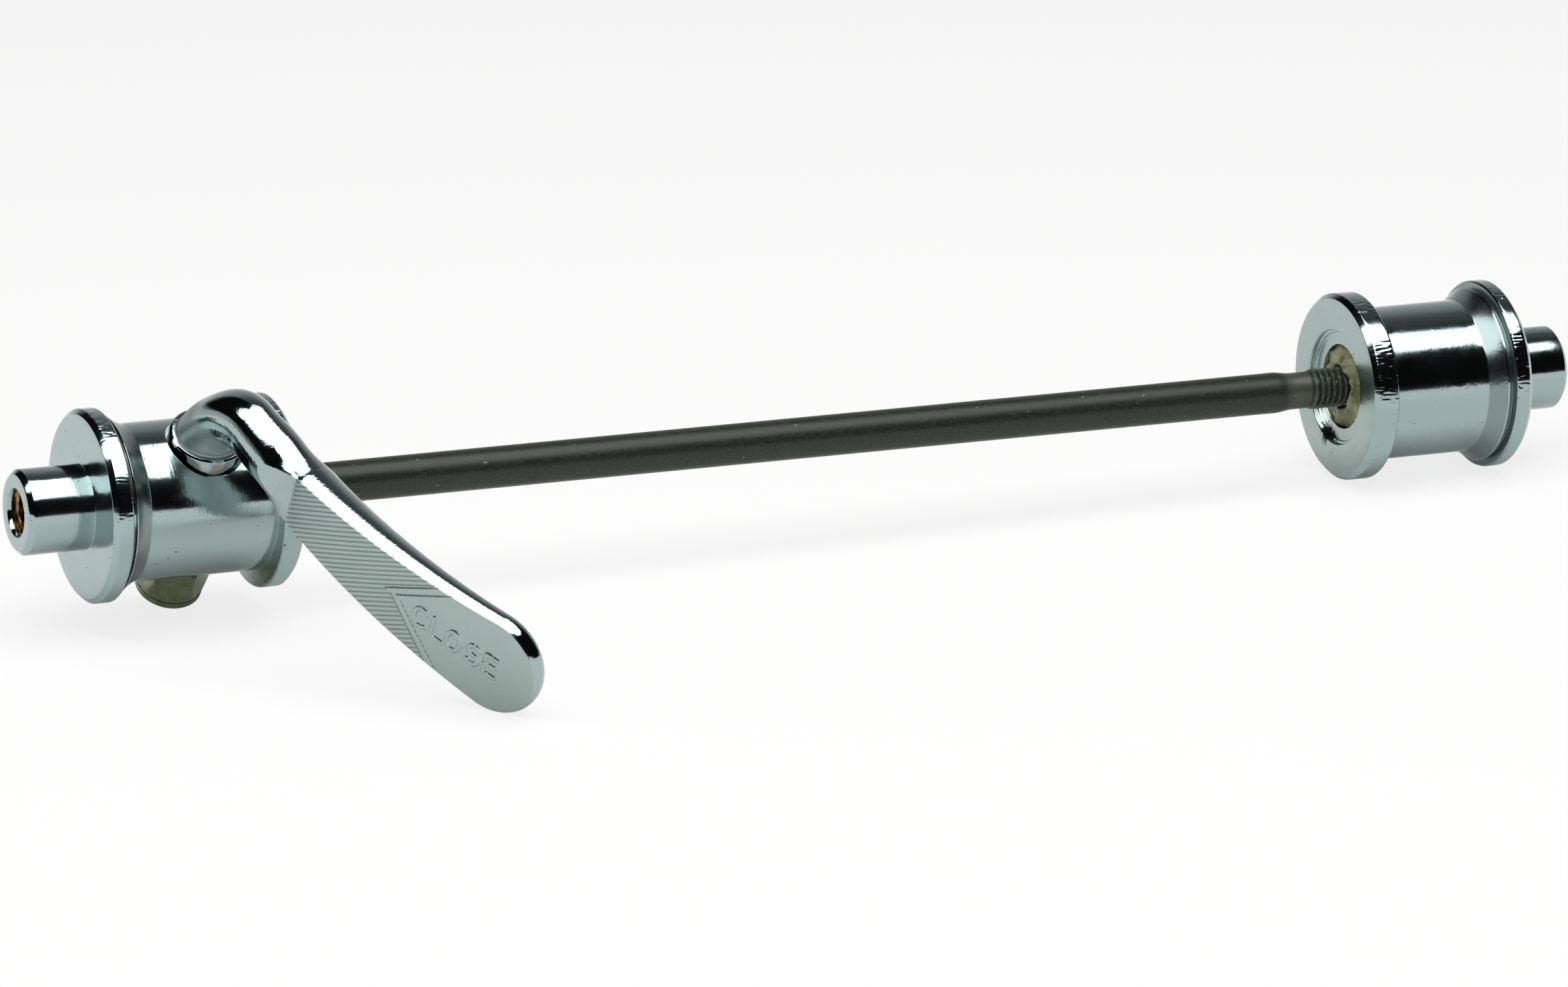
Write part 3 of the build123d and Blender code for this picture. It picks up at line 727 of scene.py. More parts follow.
# %% Relief on the flat face
SERRATION_PITCH = 0.572
SERRATION_ANGLE = radians(38.5)
SERRATION_START = 10.6
SERRATION_DEPTH = 0.075
CHEVRON = [[(27.1, 0.25), (34.4, 6.1)], [(28.75, 0.4), (36.6, 6.5)],
           [(28.0, 0.05), (34.6, -5.7)], [(29.6, 0.0), (36.3, -5.75)]]
CHEVRON_SLOPES = 0.797, 0.87        # of its upper and its lower arm
CHEVRON_DEPTH = 0.1
CHEVRON_WIDTH = 0.14
BROKEN_LINE = 0.5            # length of a dash in the chevron's inner lower line
TALL = 1.35                  # half of a letter's height
STROKE_FOOT, STROKE_TOP = 0.34, 0.2
LETTER_RISE = 0.18
BRUSHING_PITCH = 0.5
BRUSHING_DEPTH = 0.006
turns = np.linspace(0, 1, 13)


def bow(first, last, wide, tall, at=(0, 0)):
    """Points on an ellipse between two angles in degrees."""
    angle = np.radians(first + (last - first) * turns)
    return np.stack([at[0] + wide * np.cos(angle), at[1] + tall * np.sin(angle)], -1)


LETTERS = [
    (32.75, [bow(48, 312, 1.0, TALL)]),
    (35.3, [np.array([(-0.8, TALL), (-0.8, -TALL), (0.85, -TALL)])]),
    (37.55, [bow(0, 360, 0.95, TALL)]),
    (40.4, [np.vstack([bow(30, 270, 0.75, 0.68, (0, 0.67)), bow(90, -150, 0.75, 0.68, (0, -0.67))])]),
    (42.85, [np.array([(0.8, TALL), (-0.75, TALL), (-0.75, -TALL), (0.85, -TALL)]),
             np.array([(-0.75, 0.05), (0.6, 0.05)])]),
]


def stroke_distance(along, across, line):
    """Distance from each point to the nearest of a line's straight segments."""
    start, step = line[:-1], np.diff(line, axis=0)
    away = np.stack([along, across], -1)[..., None, :] - start
    share = np.clip((away * step).sum(-1) / (step ** 2).sum(-1), 0, 1)
    return np.linalg.norm(away - share[..., None] * step, axis=-1).min(-1)


def face_relief(along, across):
    """Depth of the face below its flat, and how far a point lies in a cut line, which gets painted shade.

    Serrations are V grooves across a slanting coordinate, up to the chevron. Chevron lines are grooves
    and letters are raised, both with rounded shoulders.
    """
    (upper_along, upper_across), (lower_along, lower_across) = CHEVRON[0][0], CHEVRON[2][0]
    upper_edge = upper_along + (across - upper_across) / CHEVRON_SLOPES[0]
    lower_edge = lower_along + (lower_across - across) / CHEVRON_SLOPES[1]
    before = np.where(across > 0.15, upper_edge, lower_edge) - along
    slant = along * np.sin(SERRATION_ANGLE) - across * np.cos(SERRATION_ANGLE)
    phase = (slant / SERRATION_PITCH) % 1.0
    groove = np.clip(1 - np.abs(phase - 0.5) / 0.24, 0, 1)
    within = eased(along, SERRATION_START, SERRATION_START + 0.25) * eased(before, 0.0, 0.2)
    depth = SERRATION_DEPTH * groove * within
    cut = groove * within
    for number, line in enumerate(CHEVRON):
        near = eased(stroke_distance(along, across, np.array(line)), CHEVRON_WIDTH, 0.02)
        if number == 3:
            near = near * eased(np.cos(2 * pi * along / BROKEN_LINE), -0.6, 0.2)
        depth = np.maximum(depth, CHEVRON_DEPTH * near)
        cut = np.maximum(cut, near)
    for middle, lines in LETTERS:
        for line in lines:
            reach = stroke_distance(along - middle, across, line)
            depth = depth - LETTER_RISE * eased(reach, STROKE_FOOT, STROKE_TOP)
    brushed = eased(along, 33.0, 36.0) * np.cos(2 * pi * (across + 0.02 * along) / BRUSHING_PITCH)
    return depth + BRUSHING_DEPTH * brushed, cut


print("letters", len(LETTERS), "chevron lines", len(CHEVRON))

# %% [markdown]
# Now the path. Round the bend the section turns with the path, and a small fillet spreads its foot onto
# the collar. Along the arm the neck's oval is cut by a sloping plane, which leaves the pale tongue-shaped
# facet before the serrations. At the tip the last section is folded round through a quarter turn on each
# side, so that its upper and lower halves meet in front and close. Two marks go with the points: satin on
# the flat face and under the neck's foot, and painted shade in the cut lines.

# %% The lever's path
FILLET_SPREAD = 0.15
FILLET_HEIGHT = 0.4
TONGUE_START = 5.4
TONGUE_RISE = 1.05
TONGUE_TWIST = 0.06
bend_angle = (pi / 2 * np.linspace(0, 1, 44) ** 1.4)[:, None]
arm_along = np.concatenate([np.arange(0.15, RAMP_START, 0.2), np.arange(RAMP_START, TIP_START, 0.1)])
arm_along = arm_along[:, None]
fold = np.linspace(0, pi / 2, 46)[:, None]


def arm_path(along):
    """Centre of the arm along its arc, with the directions inboard and ahead."""
    angle = ARM_ANGLE - ARM_TURN * along
    reach = BEND_RADIUS * np.cos(ARM_ANGLE) + (np.sin(ARM_ANGLE) - np.sin(angle)) / ARM_TURN
    out = BEND_RADIUS * np.sin(ARM_ANGLE) + (np.cos(angle) - np.cos(ARM_ANGLE)) / ARM_TURN
    level = COLLAR_TOP + BEND_RADIUS - PADDLE_DROP * eased(along, RAMP_START, PADDLE_START)
    zero = 0 * angle
    centre = np.stack([CAM_X + reach, -out, level], -1)
    inboard = np.stack([np.sin(angle), np.cos(angle), zero], -1)
    ahead = np.stack([np.cos(angle), -np.sin(angle), zero], -1)
    return centre, inboard, ahead


def bend_rings(angle):
    """Sections round the bend, drawn in on the outer side, with a fillet where it leaves the collar."""
    share = angle / (pi / 2)
    drawn = BEND_FLATTENING * np.sin(2 * angle) * np.cos(angle)
    radius = BEND_RADIUS - drawn
    height = radius * np.sin(angle)
    spread = 1 + FILLET_SPREAD / HUB_RADIUS * (1 - np.clip(height / FILLET_HEIGHT, 0, 1)) ** 2
    outboard = HUB_RADIUS + (NECK_OUTBOARD - HUB_RADIUS) * share
    inboard = HUB_RADIUS + (NECK_INBOARD - HUB_RADIUS) * share
    half = HUB_RADIUS + (NECK_HALF - HUB_RADIUS) * share - drawn
    section = oval_section(outboard, inboard, half) * spread[..., None]
    forward = np.array([np.cos(ARM_ANGLE), -np.sin(ARM_ANGLE), 0])
    sideways = np.array([np.sin(ARM_ANGLE), np.cos(ARM_ANGLE), 0])
    up = np.array([0, 0, 1.0])
    ahead = BEND_RADIUS - radius * np.cos(angle) - section[..., 1] * np.cos(angle)
    rise = COLLAR_TOP + height + section[..., 1] * np.sin(angle)
    return (np.array([CAM_X, 0, 0]) + ahead[..., None] * forward + section[..., :1] * sideways
            + rise[..., None] * up)


def arm_section(along):
    """Section along the arm: the oval turns into the paddle, and a sloping plane cuts the tongue facet."""
    oval = oval_section(NECK_OUTBOARD, NECK_INBOARD + NECK_GROWTH * eased(along, 0.0, 4.0),
                        NECK_HALF - NECK_WAISTING * eased(along, 3.0, 10.0))
    section = oval + (paddle_section(along) - oval) * eased(along, 6.0, 11.5)[..., None]
    before = np.clip((SERRATION_START - along) / (SERRATION_START - TONGUE_START), 0, 1.6)
    plane = FACE_LEVEL + TONGUE_RISE * before
    plane = plane - TONGUE_TWIST * section[..., 1] * eased(along, 11.5, 9.0)
    return np.stack([np.maximum(section[..., 0], -plane), section[..., 1]], -1)


print("rows along the lever", len(bend_angle) + len(arm_along) + len(fold))

# %% The lever's surface
arm_shape = arm_section(arm_along)
arm_centre, arm_inboard, _ = arm_path(arm_along)
lever_columns = arm_shape.shape[1]
tip_shape = np.broadcast_to(arm_section(np.array([[TIP_START]])), (len(fold), lever_columns, 2))
tip_centre, tip_inboard, tip_ahead = arm_path(np.array([[TIP_START]]))
on_face = np.where(np.arange(lever_columns) < FACE_COLUMNS, 1.0, 0.0)
shape = np.concatenate([arm_shape, tip_shape])
length = np.concatenate([np.broadcast_to(arm_along, arm_shape.shape[:2]),
                         TIP_START + np.abs(tip_shape[..., 1]) * np.sin(fold)])
across = np.concatenate([arm_shape[..., 1], tip_shape[..., 1] * np.cos(fold)])
relief, cut_line_shade = face_relief(length[:, :FACE_COLUMNS], across[:, :FACE_COLUMNS])
relief *= eased(np.abs(face_share), 1.0, 0.88)
inward = shape[..., 0].copy()
inward[:, :FACE_COLUMNS] += relief
arm_rows = len(arm_along)
upward = across[..., None] * [0, 0, 1]
arm_grid = arm_centre + inward[:arm_rows, :, None] * arm_inboard + upward[:arm_rows]
tip_grid = (tip_centre + inward[arm_rows:, :, None] * tip_inboard + upward[arm_rows:]
            + (length[arm_rows:] - TIP_START)[..., None] * tip_ahead)
bend_grid = bend_rings(bend_angle)
foot_ring = bend_grid[:1] * [1, 1, 0] + [0, 0, COLLAR_TOP - 0.2]
lever_grid = np.concatenate([foot_ring, bend_grid, arm_grid, tip_grid])
print("lever grid", lever_grid.shape)

# %% Marks on the lever
FOOT_DULLNESS = 2.0          # times the satin of the flat face
UNDER_REACH = radians(36)    # how much further the dull foot goes under the neck

plain = np.zeros((1 + len(bend_angle), lever_columns))
under = np.clip(0.35 - oval_section(1, 1, 1)[:, 1], 0, 1)
foot_reach = bend_angle - UNDER_REACH * under
dull_foot = np.vstack([plain[:1] + 1, FOOT_DULLNESS * eased(foot_reach, radians(44), radians(20))])
flat_share = np.concatenate([dull_foot, on_face * eased(length, 6.5, 9.0)])
# painted shade: the serrations' and chevron's grooves are darkened
cut_shade_share = np.concatenate([plain, np.pad(cut_line_shade, ((0, 0), (0, lever_columns - FACE_COLUMNS)))])
lever_arm = shell(lever_grid, [foot_ring[0].mean(0), None], satin=flat_share, cut=cut_shade_share)
print("lever's arm has", len(lever_arm[0]), "points")

# %% [markdown]
# The cam shaft is one with the lever: collar and journal above, the eccentric that draws the rod's eye in
# the middle, and a threaded tail below. Each is a turned shell, and the shells of one piece may overlap.

# %% Cam shaft
CAM_THROW = 1.0
EYE_X = CAM_X - CAM_THROW    # eccentric, with the lever shut
ECCENTRIC_RADIUS = 3.25
CAM_TOP, CAM_FOOT = 5.52, -3.39
CORE_RADIUS = 2.5            # of the shaft within the eccentric
SHOULDER, TAIL_END = -8.6, -14.7
TAIL_THREAD_RADIUS = 2.45
COLLAR_CHAMFER = 0.25
SHAFT_COLUMNS = 160
STAIN = 0.55

shaft_profile = outline([
    (COLLAR_TOP, 0, 0, 9),
    (COLLAR_TOP, JOURNAL_RADIUS - COLLAR_CHAMFER, BREAK, 1),
    (COLLAR_TOP - COLLAR_CHAMFER, JOURNAL_RADIUS, BREAK, 0.4),
    (CAM_TOP, JOURNAL_RADIUS, BREAK, 9),
    (CAM_TOP, CORE_RADIUS, 0, 9),
    (-CAM_TOP, CORE_RADIUS, 0, 9),
    (-CAM_TOP, TAIL_RADIUS, BREAK, 9),
    (SHOULDER, TAIL_RADIUS, BREAK, 9),
    (SHOULDER, TAIL_THREAD_RADIUS, 0, 9),
    (TAIL_END, TAIL_THREAD_RADIUS, 0, 9),
    (TAIL_END, 0, 0, 9),
])
shaft_level = shaft_profile[1:-1, :1]
shaft_angle = full_turn(SHAFT_COLUMNS)
blotches = mottle(about_cam(shaft_level, JOURNAL_RADIUS, shaft_angle), 2.5, 8)
stained = STAIN * eased(shaft_level, 10.1, 9.9) * eased(blotches, -1.2, 0.6)
shaft = turned(about_cam, shaft_profile, SHAFT_COLUMNS, grime=stained)
cam_profile = outline([(CAM_TOP, 0, 0, 9), (CAM_TOP, ECCENTRIC_RADIUS, BREAK, 9),
                       (CAM_FOOT, ECCENTRIC_RADIUS, BREAK, 9), (CAM_FOOT, 0, 0, 9)])
eccentric = turned(partial(about_cam, centre=EYE_X), cam_profile, 120)
lever_forging = piece("lever_forging", [lever_arm, shaft, eccentric], lever_plate)
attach(lever_forging, "lever")
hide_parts("release_lever")

# %% [markdown]
# The cap nut screws onto the tail of the cam shaft. Round its axis, a hexagon's radius is its half width
# divided by the cosine of the angle from the nearest flat. A slender cone trims its corners until they
# are gone, a groove and a round band follow, and a ball makes the dome. The washer's CAD solid is right
# as it is and only needs its finish.

# %% Cap nut and washer
NUT_SEAT = -9.4
HEX_HALF = 4.0
HEX_END = -14.0
CORNER_CUT = 0.06
CONE_SLOPE = 0.2
BAND_RADIUS = 4.05
BAND_END = -14.9
GROOVE_CUT = 0.12            # between hexagon and band
SCRATCH_CUT = 0.03           # a fine line round the band
DOME_RADIUS = 3.95
NUT_CROWN = -16.4
BALL_RADIUS = 6.27
CAP_BORE_RADIUS = 2.47
CAP_BORE_END = -14.65
NUT_TURN = radians(71)

nut_angle = full_turn(288)
from_flat = (nut_angle - NUT_TURN + pi / 6) % (pi / 3) - pi / 6
hexagon = np.minimum(HEX_HALF / np.cos(from_flat), HEX_HALF / np.cos(pi / 6) - CORNER_CUT)
hex_level = np.linspace(NUT_SEAT - 0.4, HEX_END, 30)
hex_level = np.concatenate([[NUT_SEAT, NUT_SEAT - 0.12], hex_level])[:, None]
cone = BAND_RADIUS + CONE_SLOPE * (hex_level - HEX_END)
top_cone = HEX_HALF + 0.25 + 2.0 * (NUT_SEAT - hex_level)
hex_radius = np.minimum(np.minimum(hexagon, cone), top_cone)
hex_rings = about_cam(hex_level, hex_radius, nut_angle)
band = np.array([
    (HEX_END - 0.05, BAND_RADIUS - GROOVE_CUT), (HEX_END - 0.15, BAND_RADIUS - GROOVE_CUT),
    (HEX_END - 0.2, BAND_RADIUS), (HEX_END - 0.5, BAND_RADIUS + 0.02),
    (HEX_END - 0.53, BAND_RADIUS - SCRATCH_CUT), (HEX_END - 0.58, BAND_RADIUS - SCRATCH_CUT),
    (HEX_END - 0.61, BAND_RADIUS), (BAND_END, BAND_RADIUS - 0.03),
])
band_rings = about_cam(band[:, :1], band[:, 1:], nut_angle)
dome_radius = np.linspace(DOME_RADIUS, 0.15, 24)[:, None]
dome_level = NUT_CROWN + BALL_RADIUS - np.sqrt(BALL_RADIUS ** 2 - dome_radius ** 2)
dome_rings = about_cam(dome_level, dome_radius, nut_angle)
bore_rings = about_cam(np.array([[CAP_BORE_END], [NUT_SEAT]]), CAP_BORE_RADIUS, nut_angle)
cap_grid = np.concatenate([bore_rings, hex_rings, band_rings, dome_rings])
cap_ends = [np.array([CAM_X, 0, CAP_BORE_END]), np.array([CAM_X, 0, NUT_CROWN])]
cap_nut = piece("cap_nut", [shell(cap_grid, cap_ends)], dull_plate, 25)
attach(cap_nut, "lever")
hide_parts("cam_cap_nut")
washer = frame["nodes"]["cam_washer"]
washer.data.materials.clear()
washer.data.materials.append(dull_plate)

# %% [markdown]
# The rod was rolled: a plain shank that swells by a hair before a lighter neck, then an M5 thread that
# runs into the nut. The eye round the eccentric is at its other end, inside the housing, and its slot is
# cut with a Boolean.

# %% Rod with its thread
ROD_RADIUS = 2.5
ROD_START = -16.2
EYE_RADIUS = 5.42
EYE_END, EYE_CONE_END = -6.0, -4.0
ROLLED_RADIUS = 2.25         # of the neck in front of the thread
NECK_START = 132.9
THREAD_START = 137.0
ROD_END = 158.8
THREAD_RADIUS = 2.45
ROD_COLUMNS = 96
SLOT_HALF_LONG = 4.4
SLOT_HALF_WIDE = 3.6
SLOT_REACH = 9.0

shank_profile = outline([
    (ROD_START, 0, 0, 9),
    (ROD_START, EYE_RADIUS, 0.3, 9),
    (EYE_END, EYE_RADIUS, 0.3, 9),
    (EYE_CONE_END, ROD_RADIUS, 0.6, 2.0),
    (NECK_START - 2.5, ROD_RADIUS, 0.8, 0.4),
    (NECK_START - 0.4, ROD_RADIUS + 0.02, 0.5, 0.3),
    (NECK_START + 1.4, ROLLED_RADIUS, 0.5, 0.3),
    (THREAD_START - 0.4, ROLLED_RADIUS, 0, 0.2),
])
rod_angle = full_turn(ROD_COLUMNS)
shank_rings = about_rod(shank_profile[1:, :1], shank_profile[1:, 1:], rod_angle)
thread_along = np.arange(THREAD_START - 0.3, ROD_END - 0.01, 0.07)[:, None]
thread_depth = 0.4 * eased(thread_along, THREAD_START - 0.3, THREAD_START + 0.5)
thread_growth = eased(thread_along, THREAD_START - 0.3, THREAD_START + 0.3)
thread_crest = ROLLED_RADIUS + (THREAD_RADIUS - ROLLED_RADIUS) * thread_growth
thread_crest = np.minimum(thread_crest, THREAD_RADIUS - 0.6 * eased(thread_along, ROD_END - 0.6, ROD_END))
thread_wall = thread_crest - thread_depth * (1 - thread_height(thread_along, rod_angle))
thread_rings = about_rod(thread_along, thread_wall, rod_angle)
rod_grid = np.concatenate([shank_rings, thread_rings])
rubbed_and_highlight = eased(rod_grid[..., 0], NECK_START - 0.2, NECK_START + 1.0)
rubbed_and_highlight *= eased(rod_grid[..., 0], THREAD_START + 0.3, THREAD_START - 0.6)
# painted highlight: the thread's crests are made paler
rubbed_and_highlight[len(shank_rings):] = 0.9 * thread_height(thread_along, rod_angle)
rod_ends = [np.array([ROD_START, 0, 0]), np.array([thread_along[-1, 0], 0, 0])]
skewer_rod = piece("rod_with_thread", [shell(rod_grid, rod_ends, worn=0.6 * rubbed_and_highlight)], rod_steel)

# %% Slot through the rod's eye
slot_turn = full_turn(96)
slot_x = EYE_X + SLOT_HALF_WIDE * np.cos(slot_turn)
slot_y = SLOT_HALF_WIDE * np.sin(slot_turn) + np.sign(np.sin(slot_turn)) * (SLOT_HALF_LONG - SLOT_HALF_WIDE)
slot_levels = (-SLOT_REACH, SLOT_REACH)
slot_rings = np.stack([np.stack([slot_x, slot_y, 0 * slot_x + level], -1) for level in slot_levels])
slot_ends = [np.array([EYE_X, 0, level]) for level in slot_levels]
cut_away(skewer_rod, piece("eye_slot", [shell(slot_rings, slot_ends)], rod_steel))
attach(skewer_rod, "rod")
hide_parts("skewer_rod")

# %% [markdown]
# The adjusting nut is the other spool. A shallow recess in its clamp face holds the lock ring, and the
# rim of the recess was rolled over the ring. A bright smear there is a painted highlight, and a dark
# patch in the recess beside it is painted shade.

# %% Adjusting nut
NUT_INNER_FLANGE = 3.2
NUT_WAIST = 16.2
NUT_OUTER_FLANGE = 2.3
NUT_LENGTH = NUT_HIGH[0] - GRIP
NUT_BORE_RADIUS = 2.5
RECESS_RADIUS = 7.1
RECESS_DEPTH = 0.85
POCKET_RADIUS = 5.22
POCKET_END = 3.85
BORE_END = 21.0

nut_profile = outline([
    (BORE_END, 0, 0, 6),
    (BORE_END, NUT_BORE_RADIUS, BREAK, 6),
    (POCKET_END, NUT_BORE_RADIUS, BREAK, 6),
    (POCKET_END, POCKET_RADIUS, BREAK, 6),
    (RECESS_DEPTH, POCKET_RADIUS, 0.1, 0.4),
    (RECESS_DEPTH, RECESS_RADIUS - 0.35, 0.1, 1),
    (RECESS_DEPTH - 0.25, RECESS_RADIUS - 0.3, 0.06, 1),
    (RECESS_DEPTH - 0.3, RECESS_RADIUS, 0.06, 1),
    (0.12, RECESS_RADIUS, 0.06, 1),
    (0, RECESS_RADIUS + 0.15, BREAK, 1.5),
    *spool_side(NUT_INNER_FLANGE, NUT_WAIST, NUT_OUTER_FLANGE, NUT_LENGTH),
    (NUT_LENGTH, 0, 0, 2),
]) + [GRIP, 0]
nut_grid = spool_grid(nut_profile, 23)
nut_ends = nut_profile[[0, -1], :1] * [[1, 0, 0]]
print("adjusting nut's grid", nut_grid.shape)

# %% Marks on the adjusting nut
nut_radius = np.hypot(nut_grid[..., 1], nut_grid[..., 2])
nut_turn = np.degrees(np.arctan2(nut_grid[..., 2], -nut_grid[..., 1]))
in_recess = eased(nut_grid[..., 0] - GRIP, 1.2, 0.9) * eased(nut_radius, 5.0, 5.3)
ragged = 0.25 * mottle(nut_grid, 0.7, 41)
# painted highlight: a pale smear on the recess's rolled rim
rolled_highlight = eased(np.abs(nut_turn + 109) / 30 + ragged, 1.0, 0.6)
rolled_highlight *= eased(nut_radius, 7.2, 6.9) * in_recess
# painted shade: a dark patch in the recess beside the smear
recess_shade = eased(np.abs(nut_turn + 79) / 17 + ragged + np.abs(nut_radius - 6.9) / 0.9, 1.0, 0.7)
peel_patch = eased(nut_grid[..., 0] - GRIP, 7.0, 14.0) * eased(mottle(nut_grid, 6.0, 43), -0.8, 0.8)
# painted shade: the flare is darkened, except at the step by the groove
to_flange = GRIP + NUT_INNER_FLANGE + NUT_WAIST - nut_grid[..., 0]
on_flare = eased(to_flange, FLARE_LENGTH, FLARE_LENGTH - 0.1) * eased(to_flange, -0.05, 0.0)
on_flare *= np.where(np.abs(to_flange - GROOVE_WIDTH) < 0.2, 0.0, 0.35)
nut_marks = {"satin": 0.8 * on_faces(nut_grid), "smear": rolled_highlight,
             "grime": np.maximum(recess_shade * in_recess, on_flare), "peel": peel_patch}
nut_spool = piece("nut_spool", [shell(nut_grid, list(nut_ends), **nut_marks)], nut_plate)
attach(nut_spool, "nut")
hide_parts("adjusting_nut")

# %% [markdown]
# The nylon ring was pressed in and cut by the thread. It is a revolved section whose front swells and
# dips at random round the rod, and its inner edge is torn where the thread goes in and darkened there
# with painted shade.

# %% Nylon lock ring
RING_RADIUS = 5.18
RING_BORE = 2.52
RING_END = POCKET_END - 0.05
RING_FRONT = 1.2

ring_section = outline([
    (RING_END, RING_BORE, 0, 1),
    (RING_END, RING_RADIUS, 0, 1),
    (RING_FRONT + 0.6, RING_RADIUS, 0, 0.2),
    (RING_FRONT + 0.1, RING_RADIUS, 0.2, 0.2),
    (RING_FRONT, RING_RADIUS - 0.5, 0.3, 0.15),
    (RING_FRONT - 0.2, 4.0, 0.3, 0.15),
    (RING_FRONT - 0.75, 3.2, 0.25, 0.15),
    (RING_FRONT - 0.6, 2.75, 0.1, 0.1),
    (RING_FRONT + 0.1, RING_BORE, 0, 0.5),
])
ring_angle = full_turn(240)
ring_grid = about_rod(GRIP + ring_section[:, :1], ring_section[:, 1:], ring_angle)
ring_front = eased(ring_section[:, :1], RING_FRONT + 0.6, RING_FRONT + 0.1)
ring_swell = 0.16 * mottle(ring_grid, 2.6, 31) + 0.07 * mottle(ring_grid, 0.9, 32)
ring_grid = ring_grid + ring_front[..., None] * ring_swell[..., None] * [1, 0, 0]
# painted shade: dark at the ring's inner edge where the thread goes in
ring_edge_shade = eased(ring_section[:, 1:] + 0.12 * mottle(ring_grid, 0.8, 33), 2.9, 2.65) * ring_front
nylon_ring = piece("nylon_ring", [shell(ring_grid, grime=0.95 * ring_edge_shade)], nylon, 60)
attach(nylon_ring, "nut")
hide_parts("lock_insert")

# %% [markdown]
# The object lies on a pale floor that touches the cap nut, the lever's tip and the far spool. A plane
# through the lowest point of each, found again after each tilt, settles in a few rounds. The floor is
# white to the camera and in reflections, and part of it takes real light, which keeps the shadow.

# %% Floor
FLOOR_HALF = 3000.0


def points_of(made):
    """A piece's points in millimetres."""
    points = np.empty(3 * len(made.data.vertices), np.float32)
    made.data.vertices.foreach_get("co", points)
    return points.reshape(-1, 3).astype(float) * MM


resting = [points_of(made) for made in (cap_nut, lever_forging, nut_spool)]
floor_plane = np.zeros(3)    # height at the origin, then the slopes along X and Y
for _ in range(8):
    above = [points[:, 2] - points[:, :2] @ floor_plane[1:] for points in resting]
    lowest = np.array([points[height.argmin()] for points, height in zip(resting, above)])
    floor_plane = np.linalg.solve(np.column_stack([np.ones(3), lowest[:, :2]]), lowest[:, 2])
floor_x = np.array([-1, 1, 1, -1]) * FLOOR_HALF
floor_y = np.array([-1, -1, 1, 1]) * FLOOR_HALF
floor_z = floor_plane[0] + floor_plane[1] * floor_x + floor_plane[2] * floor_y
floor_mesh = bpy.data.meshes.new("floor")
floor_mesh.from_pydata((np.stack([floor_x, floor_y, floor_z], -1) / MM).tolist(), [], [[0, 1, 2, 3]])
floor = bpy.data.objects.new("floor", floor_mesh)
bpy.context.collection.objects.link(floor)
print("floor touches at", lowest.round(2).tolist(), "plane", floor_plane.round(4).tolist())

# %% Matt white paper on the floor
FLOOR_GLOW = 0.8             # share of the floor that is plain white to the eye
NEAR_GLOW, FAR_GLOW = 0.15, 0.85    # and in reflections, which show the shadow under the object
NEAR, FAR = 45 / MM, 100 / MM       # distance over which one passes into the other
SPOT_PLACE = (-0.04, 0.02, 0)       # puts the distance's centre under the middle of the object
SPOT_SCALE = (1 / 1.7, 1, 0)        # and draws it out along the rod

paper, tree, place = new_material("white_paper")
rays = add(tree, "LightPath").outputs
mirrored = add(tree, "Math", {0: rays["Is Glossy Ray"], 1: rays["Is Transmission Ray"]},
               operation="MAXIMUM")
spot = add(tree, "Mapping", {"Vector": place, "Location": SPOT_PLACE, "Scale": SPOT_SCALE})
away = add(tree, "VectorMath", {0: spot}, operation="LENGTH").outputs["Value"]
outside = add(tree, "MapRange", {"Value": away, "From Min": NEAR, "From Max": FAR, "To Min": NEAR_GLOW,
                                 "To Max": FAR_GLOW}, interpolation_type="SMOOTHSTEP")
in_metal = add(tree, "Math", {0: mirrored, 1: outside}, operation="MULTIPLY")
share = add(tree, "Math", {0: rays["Is Camera Ray"], 1: FLOOR_GLOW, 2: in_metal}, operation="MULTIPLY_ADD")
matt = add(tree, "BsdfDiffuse", {"Color": linear("#F4F4F2")})
white = add(tree, "Emission", {"Color": (1, 1, 1, 1), "Strength": 1.0})
both = add(tree, "MixShader", {0: share, 1: matt, 2: white})
add(tree, "OutputMaterial", {"Surface": both})
floor_mesh.materials.append(paper)
print("made", paper.name)

# %% [markdown]
# Metal shows its room, so the room matters more than the lamps' strength. One large softbox hangs above
# and a little in front, and a narrow one of the same brightness carries on to the left. The front and
# the sides of the room are dark, the ceiling is dim, and the backdrop brightens towards the floor. The
# world holds that as a ramp over the angle round the rod's direction. To the left only its lowest part
# is left, because the backdrop ends there.

# %% Softboxes
LAMP_RADIANCE = 2.8          # watts per square metre and steradian
SOFTBOXES = [("softbox", 900.0, 640.0, (30.0, -215.0, 500.0), 16.0),
             ("side_softbox", 840.0, 280.0, (-490.0, 50.0, 500.0), -22.0)]

for name, long, wide, place, yaw in SOFTBOXES:
    lamp = bpy.data.lights.new(name, "AREA")
    lamp.shape = "ELLIPSE"
    lamp.size, lamp.size_y = long / MM, wide / MM
    lamp.energy = LAMP_RADIANCE * pi * (pi / 4 * lamp.size * lamp.size_y)
    softbox = bpy.data.objects.new(name, lamp)
    bpy.context.collection.objects.link(softbox)
    softbox.matrix_world = Matrix.Translation(np.array(place) / MM) @ Matrix.Rotation(radians(yaw), 4, "Z")
    print(name, "gives", round(lamp.energy, 2), "watts")

